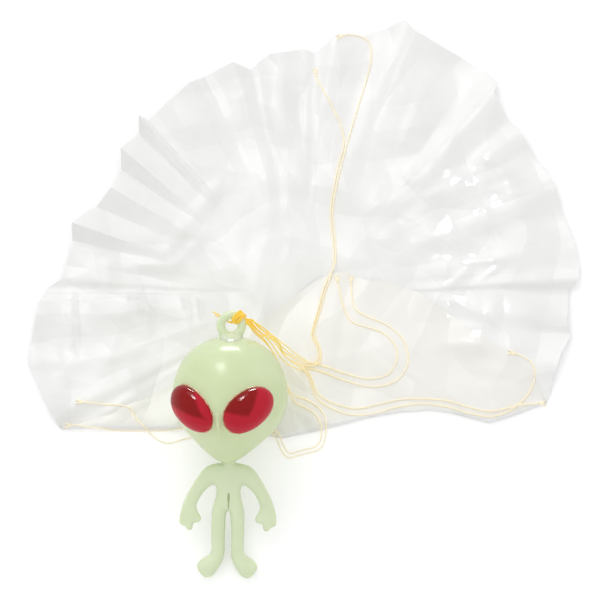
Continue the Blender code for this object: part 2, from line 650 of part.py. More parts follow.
def make_canopy(film):
    """Film of the canopy, pleated along rays from its middle and folded over at the hem."""
    form = bmesh.new()
    outer_middle = form.verts.new((0, 0, 0))
    inner_middle = form.verts.new((0, 0, FILM))
    rays = []
    for x, y, rise in flat_rim():
        crosses = y < HEM_Y - math.pi * FOLD_RADIUS
        hem_share = (HEM_Y - math.pi * FOLD_RADIUS) / y if crosses else None
        ray = []
        for share in ray_shares(y):
            height = film_rise(share, rise, hem_share)
            outer, inner = folded(x * share, y * share, height)
            ray.append((form.verts.new(outer), form.verts.new(inner)))
        rays.append(ray)
    for k, ray in enumerate(rays):
        following = rays[(k + 1) % len(rays)]
        form.faces.new((outer_middle, following[0][0], ray[0][0]))
        form.faces.new((inner_middle, ray[0][1], following[0][1]))
        for near in range(len(ray) - 1):
            far = near + 1
            form.faces.new((ray[near][0], following[near][0], following[far][0], ray[far][0]))
            form.faces.new((ray[near][1], ray[far][1], following[far][1], following[near][1]))
        form.faces.new((ray[-1][0], following[-1][0], following[-1][1], ray[-1][1]))
    bmesh.ops.triangulate(form, faces=form.faces)
    surface = BVHTree.FromBMesh(form)
    add_object("canopy_film", mesh_from("canopy_film", form), None, film)
    return surface


def top_under(surface, spot, reach, rise):
    """Height at which a rounded piece of this half width and half height rests at a spot."""
    offsets = [(0, 0)]
    for share in CONTACT_SHARES:
        for side in range(CONTACT_SIDES):
            turn = math.tau * side / CONTACT_SIDES
            offsets.append((share * math.cos(turn), share * math.sin(turn)))
    top = rise
    for x, y in offsets:
        above = (spot.x + reach * x, spot.y + reach * y, CANOPY_RADIUS)
        place = surface.ray_cast(above, (0, 0, -1))[0]
        if place is not None:
            top = max(top, place.z + rise * math.sqrt(max(0, 1 - x**2 - y**2)))
    return top


def smooth_route(route):
    """Points along a smooth curve through a route."""
    before = route[0] + (route[0] - route[1])
    after = route[-1] + (route[-1] - route[-2])
    ends = [before, *route, after]
    points = []
    for a, b, c, d in zip(ends, ends[1:], ends[2:], ends[3:]):
        for step in range(LINE_STEPS):
            t = step / LINE_STEPS
            bend = 2 * a - 5 * b + 4 * c - d
            points.append((2 * b + (c - a) * t + bend * t**2 + (3 * b - a - 3 * c + d) * t**3) / 2)
    points.append(route[-1].copy())
    return points


def lay_line(points, surface, laid):
    """Raise a line's points until it clears the film and the lines laid before it."""
    tree = KDTree(len(laid))
    for index, spot in enumerate(laid):
        tree.insert((spot.x, spot.y, 0), index)
    tree.balance()
    room = LINE_RADIUS + LINE_GAP
    apart = LINE_RADIUS + room
    for near, far in LAY_ROUND_COUNT * list(zip(points, points[1:])):
        for share in (0, 1, *(k / LAY_CHECK_COUNT for k in range(1, LAY_CHECK_COUNT))):
            spot = near.lerp(far, share)
            short = max(0, top_under(surface, spot, room, room) - spot.z)
            for _, index, _ in tree.find_range((spot.x, spot.y, 0), apart):
                if abs(laid[index].z - spot.z) < apart:
                    short = max(short, laid[index].z + apart - spot.z)
            whole = (1 - share) ** 2 + share**2
            near.z += short * (1 - share) / whole
            far.z += short * share / whole
    return points


def along(points):
    """Closely spaced spots along a line."""
    spots = []
    for near, far in zip(points, points[1:]):
        spots += [near.lerp(far, k / LAY_CHECK_COUNT) for k in range(LAY_CHECK_COUNT)]
    return spots


def make_line(number, start, route, surface, laid, thread):
    """Line of thread and the knot that holds it at the rim."""
    route = [start] + [Vector(place) for place in route]
    points = lay_line(smooth_route(route), surface, laid)
    laid += along(points)
    curve = bpy.data.curves.new(f"line_{number}", "CURVE")
    curve.dimensions = "3D"
    curve.bevel_depth = LINE_RADIUS
    curve.bevel_resolution = 2
    curve.use_fill_caps = True
    spline = curve.splines.new("POLY")
    spline.points.add(len(points) - 1)
    for point, place in zip(spline.points, points):
        point.co = (*place, 1)
    add_object(f"line_{number}", curve, None, thread)
    way = (points[-1] - points[-2]).normalized()
    way.z = 0
    middle = points[-1] + way * (RIM_KNOT_RADIUS + LINE_GAP)
    half_height = RIM_KNOT_RADIUS * RIM_KNOT_HEIGHT_SHARE
    middle.z = top_under(surface, middle, RIM_KNOT_RADIUS + LINE_GAP, half_height + LINE_GAP)
    form = bmesh.new()
    bmesh.ops.create_icosphere(form, subdivisions=2, radius=RIM_KNOT_RADIUS)
    bmesh.ops.scale(form, vec=(1, 1, RIM_KNOT_HEIGHT_SHARE), verts=form.verts)
    knot = add_object(f"rim_knot_{number}", mesh_from(f"rim_knot_{number}", form), None, thread)
    knot.location = middle


def make_lines(lump, surface, thread):
    """Eight lines from the ring's knot, laid one over another across the film."""
    laid = []
    way = Vector(LINE_ROUTES[0][0]) - lump
    way.z = 0
    way.normalize()
    sideways = Vector((-way.y, way.x, 0))
    for number in LAYING_ORDER:
        across, up = LINE_START_SHARES[number - 1]
        offset = KNOT_LUMP_RADIUS * (across * sideways + up * Vector((0, 0, 1)))
        start = lump + offset + way * (KNOT_LUMP_RADIUS + LINE_GAP)
        make_line(number, start, LINE_ROUTES[number - 1], surface, laid, thread)


def main():
    clear_scene()
    green = plastic("pale_green_plastic", (0.66, 0.75, 0.50), 0.35)
    red = plastic("clear_red_plastic", (0.45, 0.02, 0.025), 0.08)
    thread = plastic("orange_thread", (0.87, 0.53, 0.08), 0.8)
    film = plastic("white_film", (0.87, 0.87, 0.85), 0.35)
    tilt = resting_tilt()
    turn = (tilt, 0, -FIGURE_LEAN)
    frame = Matrix.Rotation(tilt, 4, "X") @ Matrix.Rotation(-FIGURE_LEAN, 4, "Z")
    neck = Vector((NECK_X, NECK_Y, neck_height(tilt)))
    figure = add_empty("figure_swing_axis", neck + frame @ knot_place(), turn)
    neck_axis = add_empty("neck_axis", -knot_place(), (0, 0, 0), figure)
    head_axis = add_empty("head_axis", -knot_place(), (0, HEAD_YAW, 0), figure)
    make_head(head_axis, green, red)
    make_ring(neck_axis, green)
    make_ring_knot(neck_axis, thread)
    make_body(neck_axis, green)
    surface = make_canopy(film)
    make_lines(neck + frame @ knot_lump(), surface, thread)


main()
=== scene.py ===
"""Toy parachute laid out flat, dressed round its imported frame.

A moulded figure lies on its back. Eight twisted threads run from the knot on its ring over the film
canopy to knots at the rim. The canopy's near part is folded over on top along a hem.
"""
import json
import math

import bmesh
import bpy
from mathutils import Matrix, Vector, noise
from mathutils.bvhtree import BVHTree
from mathutils.kdtree import KDTree


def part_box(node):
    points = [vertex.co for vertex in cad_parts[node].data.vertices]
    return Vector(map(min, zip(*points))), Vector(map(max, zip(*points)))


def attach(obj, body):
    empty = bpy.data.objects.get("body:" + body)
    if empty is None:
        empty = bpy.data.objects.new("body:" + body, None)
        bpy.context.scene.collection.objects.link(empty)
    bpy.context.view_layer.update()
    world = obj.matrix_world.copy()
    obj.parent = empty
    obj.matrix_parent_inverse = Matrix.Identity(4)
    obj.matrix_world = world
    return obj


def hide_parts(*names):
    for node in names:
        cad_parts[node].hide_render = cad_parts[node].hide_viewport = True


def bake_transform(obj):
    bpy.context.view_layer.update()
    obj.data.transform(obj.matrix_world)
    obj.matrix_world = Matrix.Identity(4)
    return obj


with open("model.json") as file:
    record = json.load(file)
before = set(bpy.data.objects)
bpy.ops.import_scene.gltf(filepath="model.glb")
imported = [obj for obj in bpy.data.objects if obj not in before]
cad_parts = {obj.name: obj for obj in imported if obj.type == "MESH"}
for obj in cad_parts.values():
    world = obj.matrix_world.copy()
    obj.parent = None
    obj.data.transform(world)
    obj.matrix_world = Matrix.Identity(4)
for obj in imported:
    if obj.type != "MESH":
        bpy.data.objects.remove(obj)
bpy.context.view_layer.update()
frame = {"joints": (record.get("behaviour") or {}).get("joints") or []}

# The figure's own frame, from the joint between its head and its body: +X to the right of the
# photograph, +Y up along the figure and +Z out of its front, with the neck at the origin.
JOINTS = {joint["name"]: joint for joint in frame["joints"]}
NECK_AXIS = Vector(JOINTS["head_turn"]["axis"])
NECK = Vector(JOINTS["head_turn"]["pos_m"])
LEAN = math.asin(NECK_AXIS.x)
TILT = math.atan2(NECK_AXIS.z, NECK_AXIS.y)
HEAD_YAW = math.radians(-11)
BODY_FRAME = (
    Matrix.Translation(NECK) @ Matrix.Rotation(TILT, 4, "X") @ Matrix.Rotation(-LEAN, 4, "Z")
)
HEAD_FRAME = BODY_FRAME @ Matrix.Rotation(HEAD_YAW, 4, "Y")

# Clearance between pieces that touch.
GAP = 0.00015
# Points nearer to each other than this are one.
SAME_PLACE = GAP / 9
# How far a cutter runs past what it cuts.
OVERRUN = 0.001
MM = 0.001
# Sides of a round rod or lump.
ROUND_SIDES = 48
WHITE = (1, 1, 1, 1)

# Camera, at the photograph's angle. The film's middle is near the middle of the picture.
CAMERA_AIM = (-0.00097, -0.00128, 0)
CAMERA_ELEVATION = math.radians(71.5)
CAMERA_DISTANCE = 0.7
METRES_PER_PIXEL = 0.0002436
PHOTO_PIXELS = 600

# Head, an inverted egg in two moulded halves.
HEAD_RADIUS = 0.0136
HEAD_HEIGHT = 0.0296
CHIN_FORWARD = 0.0026
CHIN_CLEARANCE = 0.0004
CHIN_BEND_SHARE = 0.42
HEAD_SIDES = 256
HEAD_STEPS = 8
# Step up and down the profile over which its slope is taken.
HEAD_SLOPE_STEP = HEAD_HEIGHT / 50
# Size of the cells that melt the head's parts together, and rounds of smoothing after it.
HEAD_MELT = (0.00028, 5)
# Sharpest bend that is shaded smooth, in degrees, here and for the pieces below.
HEAD_SMOOTH = 35
SEAM = 0.00008
# Vertices this near to the plain egg are drawn right onto it, and none past twice as far.
SKIN_REACH = 0.00003
# Height over the chin and radius, as shares of the head's height and radius.
HEAD_PROFILE_SHARES = (
    (0.0, 0.10), (0.03, 0.23), (0.095, 0.42), (0.16, 0.575), (0.225, 0.72), (0.29, 0.835),
    (0.355, 0.92), (0.45, 0.99), (0.545, 1.0), (0.64, 0.975), (0.735, 0.905), (0.81, 0.82),
    (0.87, 0.715), (0.925, 0.56), (0.97, 0.365), (0.995, 0.15),
)
# Nose ridge and lip: height over the chin, half width, half thickness and half length.
NOSE = (0.0095, 0.0008, 0.0016, 0.0032)
LIP = (0.0062, 0.0019, 0.0009, 0.0008)

# Eyes, domed pads that follow the head's curve in sockets, with a bead of glue round each.
EYE_LENGTH = 0.0132
EYE_WIDTH = 0.0088
EYE_BULGE = 0.0023
# Slope at which an eye's dome stands out more towards the head's side.
EYE_LEAN = 0.04
EYE_DEPTH = 0.0009
EYE_BEARING = math.radians(31.4)
EYE_TILT = math.radians(36)
EYE_HEIGHT = 0.0129
EYE_SMOOTH = 60
GLUE_RADIUS = 0.00016
# How much thicker and thinner the bead gets, how fast that changes round the eye, and how high its
# middle lies.
GLUE_UNEVEN_SHARE = 0.9
GLUE_LUMPS = 4
GLUE_RAISED_SHARE = 0.4
GLUE_SIDES = 160
GLUE_BAR_SIDES = 10
# Painted shade, the dark part of each eye, by its side: its lower right corner, the slope of its
# lower edge and the lean of its right edge.
EYE_PAINTED_SHADE_EDGES = {-1: (0.0046, -0.0016, 0.33, -0.5), 1: (-0.0006, -0.0005, 0.05, 0.38)}

# Hanging ring.
RING_RADIUS = 0.00248
RING_BAR_RADIUS = 0.00104
RING_HEIGHT = 0.0325
STUB_ROOT = 0.0024
# Half width, height and half depth of the stub under it and of the stub's foot.
STUB_SIZE = (0.0028, 0.0028, 0.0015)
FOOT_SIZE = (0.0029, 0.0016, 0.0040)
FOOT_LEAN = math.radians(22)
FOOT_PLACE = (0.0, 0.0286, 0.0029)
RING_SIDES = 72
RING_BAR_SIDES = 24
RING_MELT = (0.00014, 9)
RING_SMOOTH = 50

# Neck hole and peg.
NECK_PEG_RADIUS = 0.0016
NECK_PEG_LENGTH = 0.0056

# Body, moulded in one piece. Each knob of it: name, knob it grows from, place (shares of half the
# arm span, of the body's height and of its depth), half width and half depth (shares of half the
# arm span).
BODY_HEIGHT = 0.0275
ARM_SPAN = 0.0229
BODY_DEPTH = 0.0044
BODY_LEVELS = 2
BODY_MELT = (0.00024, 3)
BODY_SMOOTH = 40
BODY_SHARES = (
    ("neck", None, (0.0, 0.045, 0.0), (0.46, 0.18)),
    ("chest", "neck", (0.0, -0.085, 0.0), (0.28, 0.20)),
    ("belly", "chest", (0.0, -0.20, 0.0), (0.23, 0.19)),
    ("hip", "belly", (0.0, -0.28, 0.0), (0.26, 0.19)),
)
LIMB_SHARES = (
    ("shoulder", "chest", (0.35, -0.083, 0.0), (0.215, 0.15)),
    ("elbow", "shoulder", (0.61, -0.205, 0.0), (0.15, 0.125)),
    ("wrist", "elbow", (0.80, -0.345, 0.02), (0.145, 0.11)),
    ("palm", "wrist", (0.835, -0.425, 0.05), (0.17, 0.10)),
    ("thumb", "palm", (0.56, -0.50, 0.06), (0.08, 0.07)),
    ("long_finger", "palm", (0.765, -0.585, 0.05), (0.085, 0.07)),
    ("outer_finger", "palm", (0.945, -0.545, 0.05), (0.08, 0.07)),
    ("thigh", "hip", (0.198, -0.42, 0.0), (0.165, 0.165)),
    ("ankle", "thigh", (0.192, -0.80, 0.0), (0.155, 0.155)),
    ("toe", "ankle", (0.45, -0.91, 0.10), (0.245, 0.17)),
    ("toe_tip", "toe", (0.565, -0.951, 0.10), (0.145, 0.12)),
)
# Slot down the belly: place and half sizes of its deep part and of its thin part.
BELLY_SLOTS = (
    ((0.0001, -0.0080, 0.0020), (0.00032, 0.0013, 0.0010)),
    ((0.0001, -0.0101, 0.0020), (0.00018, 0.0024, 0.0007)),
)
# Gap between the legs: place and half sizes.
LEG_GAP = ((0.0001, -0.0187, 0), (0.00078, 0.0078, 0.006))

# Canopy, a disc of film with its near part folded over on top along a hem.
CANOPY_RADIUS = 0.075
FILM = 0.00007
FILM_SMOOTH = 50
FOLD_RADIUS = 0.0007
PLEAT_RISE = 0.006
LAP_RISE = 0.0012
HEM_Y = -0.0333
HEM_FADE = 0.025
RAYS_FLAT_SHARE = 0.32
PLEAT_CURVE = 1.25
RIM_STEP = 0.0009
RINGS_BEFORE_HEM = 44
RINGS_IN_BEND = 7
RINGS_AFTER_HEM = 30
# The far rim from the right corner round to the left one: x, y (shares of the canopy's radius)
# and rise (share of the pleats' rise).
FAR_RIM_SHARES = (
    (0.785, -0.43, 0.10), (0.825, -0.255, 0.50), (0.865, -0.155, 0.15), (0.85, -0.095, 0.50),
    (0.86, 0.015, 0.10), (0.89, 0.035, 0.55), (0.895, 0.095, 0.20), (0.88, 0.165, 0.50),
    (0.85, 0.265, 0.10), (0.825, 0.36, 0.60), (0.765, 0.465, 0.20), (0.72, 0.545, 0.60),
    (0.675, 0.605, 0.15), (0.63, 0.69, 0.45), (0.645, 0.735, 0.30), (0.515, 0.84, 0.0),
    (0.37, 0.915, 0.50), (0.34, 0.95, 0.65), (0.215, 0.905, 0.10), (0.115, 0.905, 0.45),
    (0.04, 0.845, 0.0), (0.005, 0.855, 0.30), (-0.115, 0.83, 0.50), (-0.18, 0.79, 0.0),
    (-0.235, 0.805, 0.40), (-0.33, 0.76, 0.10), (-0.38, 0.715, 0.80), (-0.515, 0.605, 0.10),
    (-0.543, 0.597, 0.90), (-0.545, 0.555, 0.20), (-0.60, 0.478, 1.0), (-0.60, 0.43, 0.10),
    (-0.63, 0.347, 0.80), (-0.68, 0.30, 0.10), (-0.755, 0.222, 0.90), (-0.755, 0.18, 0.20),
    (-0.785, 0.04, 0.45), (-0.83, 0.02, 0.20), (-0.86, -0.045, 0.50), (-0.89, -0.23, 0.10),
    (-0.80, -0.42, 0.45),
)
# The lap's rim as it lies after folding, from the left corner to the right one.
LAP_RIM_SHARES = (
    (-0.775, -0.46, 0.0), (-0.72, -0.435, 0.3), (-0.635, -0.405, 0.2), (-0.565, -0.375, 0.5),
    (-0.51, -0.353, 0.2), (-0.42, -0.305, 0.4), (-0.335, -0.25, 0.2), (-0.27, -0.195, 0.1),
    (-0.19, -0.133, 0.2), (-0.115, -0.07, 0.4), (-0.023, 0.0, 0.5), (0.05, 0.052, 0.8),
    (0.117, 0.077, 1.0), (0.15, 0.064, 0.6), (0.208, 0.044, 0.9), (0.28, 0.04, 0.6),
    (0.375, 0.003, 0.8), (0.47, -0.067, 0.4), (0.568, -0.145, 0.6), (0.657, -0.212, 0.5),
    (0.725, -0.29, 0.4), (0.76, -0.40, 0.3), (0.775, -0.46, 0.0),
)
# Points of the far rim whose pleats keep sharp folds and full height; the others lie softer.
CREASED_PLEATS = range(23, 36)
CREASED_START_SHARE = 0.5
SOFT_RISE = 0.0033
# Share of its length over which a crease fades in and out past its ends.
CREASE_PAST_SHARE = 0.15
# Creases of the film in millimetres: from x, y to x, y, height and half width.
FILM_CREASES = (
    (-47.5, 8.5, -47, 1, 0.5, 3), (-47, 8, -28.5, 7, 0.4, 2.5), (-47.5, 1, -22, 0.5, -0.1, 2),
    (-47.5, 2, -22, 1.5, 0.1, 2), (-56.5, 0, -55.5, -15, 0.5, 1.5),
    (-55, -0.5, -53.5, -15, -0.3, 2), (-53, -0.5, -52.5, -14.5, 0.3, 2),
    (-51, -1.5, -50, -13.5, 0.2, 2), (-43, 0, -41, -11.5, 0.4, 1.5),
    (-40.5, 0.5, -39.5, -10.5, 0.4, 1.5), (-37, 0, -38, -11, 0.4, 1.5),
    (-30, -0.5, -27.5, -11, 0.4, 1.5), (-26, 0, -25, -10, 0.4, 1.5), (-47.5, -17, -38.5, -14, 0.4, 2),
    (-46.5, -16.5, -44, -25, -0.4, 3), (-65.5, -17, -53.5, -18, 0.5, 3),
    (-61.5, -11, -57, -22.5, 0.4, 3.5), (-35, 9, -21, 28, 0.6, 3), (-32, 7, -25.5, 14, 0.4, 2),
    (-25.5, 13, -15.5, -1, -0.6, 4), (-22, 16, -9, -0.5, 0.4, 4), (-21, 29, -25.5, 13, 0.4, 4),
    (-9, 37.5, -9, 20, 0.5, 3), (-7.5, 21, -12.5, -0.5, 0.4, 4), (5.5, 47.5, 1, 25.5, -0.6, 4),
    (2.5, 48.5, -0.5, 28, 0.4, 4), (-12.5, 52.5, -18.5, 50, 0.3, 2), (-4.5, 60, -6, 40.5, 0.4, 4),
    (-17.5, 48.5, -11, 28, 0.4, 5), (25, 61, 20, 47.5, 0.5, 5), (31.5, 60, 24, 39.5, 0.4, 5),
    (47.5, 52.5, 30.5, 31, 0.9, 6), (30.5, 31, 16, 21, 0.6, 5), (42.5, 54.5, 28, 36, -0.5, 5),
    (56, 34, 42, 28, 0.7, 5), (42, 28, 17, 22, 0.5, 4), (64.5, 17.5, 44, 10.5, 0.6, 5),
    (63, 2, 35, 0, 0.2, 5), (67, 8, 48, 7, 0.3, 5), (22, 32.5, 27, 28.5, 0.5, 1.5),
    (44.5, 35, 50, 30.5, 0.5, 1.5), (44, 22, 48, 14, 0.5, 1.5), (35, 1.5, 40.5, 6.5, 0.5, 1.5),
    (40, 8, 49, 8.5, 0.4, 1.5), (35.5, -1.5, 42, -5, 0.4, 1.5), (45, -5, 50, -12, 0.5, 1.5),
    (43, 3.5, 48, 7, 0.4, 1), (33.5, -13, 52.5, -14, 0.6, 4), (39, -24.5, 52, -25.5, -0.5, 5),
    (35, -20, 47.5, -21, 0.4, 4), (15.5, 16, 7, 2, 0.3, 5), (27.5, 16, 41.5, 12.5, 0.4, 4),
    (17.5, -1.5, 31.5, -6.5, 0.3, 4),
)
LAP_CREASES = (
    (-56, -33, -30, -25, 0.3, 2.5), (3, 3, 6, -25, 0.2, 4), (15, 3.5, 18, -24, 0.2, 5),
    (33, -4, 30, -26, 0.3, 5),
)
# Crumpling: height and size of its facets.
FILM_CRUMPLE = 0.0011
FILM_CELL = 0.0095
LAP_CRUMPLE = 0.0003
LAP_CELL = 0.012
# The facets lie between sets of folds that cross: the sets' directions, the first set's spacing and
# what each further set adds to it, its shift, and how far and over what length the folds bend, all
# as shares of a facet's size.
FOLD_TURNS = tuple(math.radians(turn) for turn in (8, 52, 87, 121, 156))
FOLD_SPACING_SHARE = 1.3
FOLD_WIDENING_SHARE = 0.45
FOLD_SHIFT_SHARE = 0.37
FOLD_BEND_SHARE = 0.9
FOLD_BEND_LENGTH_SHARE = 2.6
# Without a set seed the folds would bend in another way at every run.
NOISE_SEED = 3
noise.seed_set(NOISE_SEED)
# How far the film stands off the ground where it lies loose.
FILM_LOFT = 0.0001
# The film lies calm within this distance of the hem.
HEM_CALM = 0.004
# How close the lap's rim lies to the film under it, and how far the film stays under the head.
LAP_CLEAR = 0.00022
HEAD_CLEARANCE = 0.00025
HEAD_REST = BODY_FRAME @ Vector((0, HEAD_HEIGHT / 2, 0))
HEAD_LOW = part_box("head_back")[0].z
# How far the hem swings off its line: x and shift along Y, shares of the canopy's radius.
HEM_SHARES = (
    (-0.80, -0.005), (-0.70, 0.0), (-0.40, 0.0), (-0.235, -0.01), (-0.067, -0.032),
    (0.025, -0.013), (0.115, 0.01), (0.21, 0.036), (0.31, 0.054), (0.405, 0.06),
    (0.47, 0.05), (0.53, 0.034), (0.595, 0.017), (0.675, 0.043), (0.725, 0.063), (0.80, 0.09),
)

# Threads: two plies twisted together, laid over the film from the ring's knot to knots at the rim.
THREAD_RADIUS = 0.00019
PLY_RADIUS = 0.0001
PLY_PITCH = 0.0011
PLY_STEP = 0.0002
PLY_SIDES = 5
LINE_GAP = 0.00005
ROUTE_STEPS = 3
LAY_CHECKS = 8
LAY_ROUNDS = 2
CONTACT_SHARES = (0.5, 1.0)
CONTACT_SIDES = 8
# Distance from the ring's knot up to which the threads lie close together, and over which they then
# come to lie alone; over it the thread's painted colour goes from deep to pale.
BUNCH_REACH = 0.004
BUNCH_FADE = 0.03
# Knots at the rim.
RIM_KNOT_SIZE = 0.00042
RIM_KNOT_STEPS = 48
RIM_KNOT_SIDES = 8
RIM_KNOT_THREAD_SHARE = 0.8
RIM_KNOT_DEPTH_SHARE = 0.35
# Their tails: side, and places onward and out to that side, shares of the knot's size.
RIM_TAIL_SHARES = (
    (-1, ((0.5, 0.3), (1.6, 0.9), (2.6, 0.7))),
    (1, ((0.5, 0.3), (1.6, 0.9), (2.6, 1.7))),
)

# Ball of thread on the ring.
KNOT_BEARING = math.radians(42)
KNOT_WIDTH = 0.0018
KNOT_LUMP_RADIUS = 0.0010
LUMP_BEARING = math.radians(112)
LUMP_REACH = 0.00214
# Layers of the band wound round the ring's bar: turns, lean, height over the bar (share of the
# thread's radius) and width (share of the knot's width).
BAND_LAYERS = ((8, 0.10, 1.1, 1.0), (6, -0.22, 2.8, 0.85))
BAND_STEPS = 24
BAND_SWELL_SHARE = 0.15
BAND_DRIFT = 0.0003
# Where the bundle that leaves the ring's knot is narrowest, and how wide its strands lie there and
# on either side, shares of their distance from each other where they leave.
WAIST_SHARE = 0.5
BUNDLE_SHARES = (0.5, 0.45, 0.7)
STRAND_RUN = 0.0003
# Loose tails of the ring's knot, from the middle of its band.
RING_TAILS = (
    ((-0.0006, -0.0012, -0.0004), (-0.0022, -0.0012, -0.0013), (-0.0040, 0.0002, -0.0012),
     (-0.0062, 0.0013, -0.0007)),
    ((-0.0006, -0.0010, -0.0006), (-0.0024, -0.0010, -0.0015), (-0.0040, -0.0001, -0.0011),
     (-0.0056, 0.0004, -0.0006)),
)

# Where the lines leave the ring's knot: sideways and upward from its middle, shares of its lump's
# radius.
LINE_START_SHARES = (
    (0.75, 0.28), (-0.25, 0.28), (0.25, 0.28), (-0.75, 0.28),
    (-0.25, -0.28), (-0.75, -0.28), (0.25, -0.28), (0.75, -0.28),
)
# The lines from the lowest one to the topmost.
LAYING_ORDER = (6, 5, 7, 8, 4, 2, 1, 3)
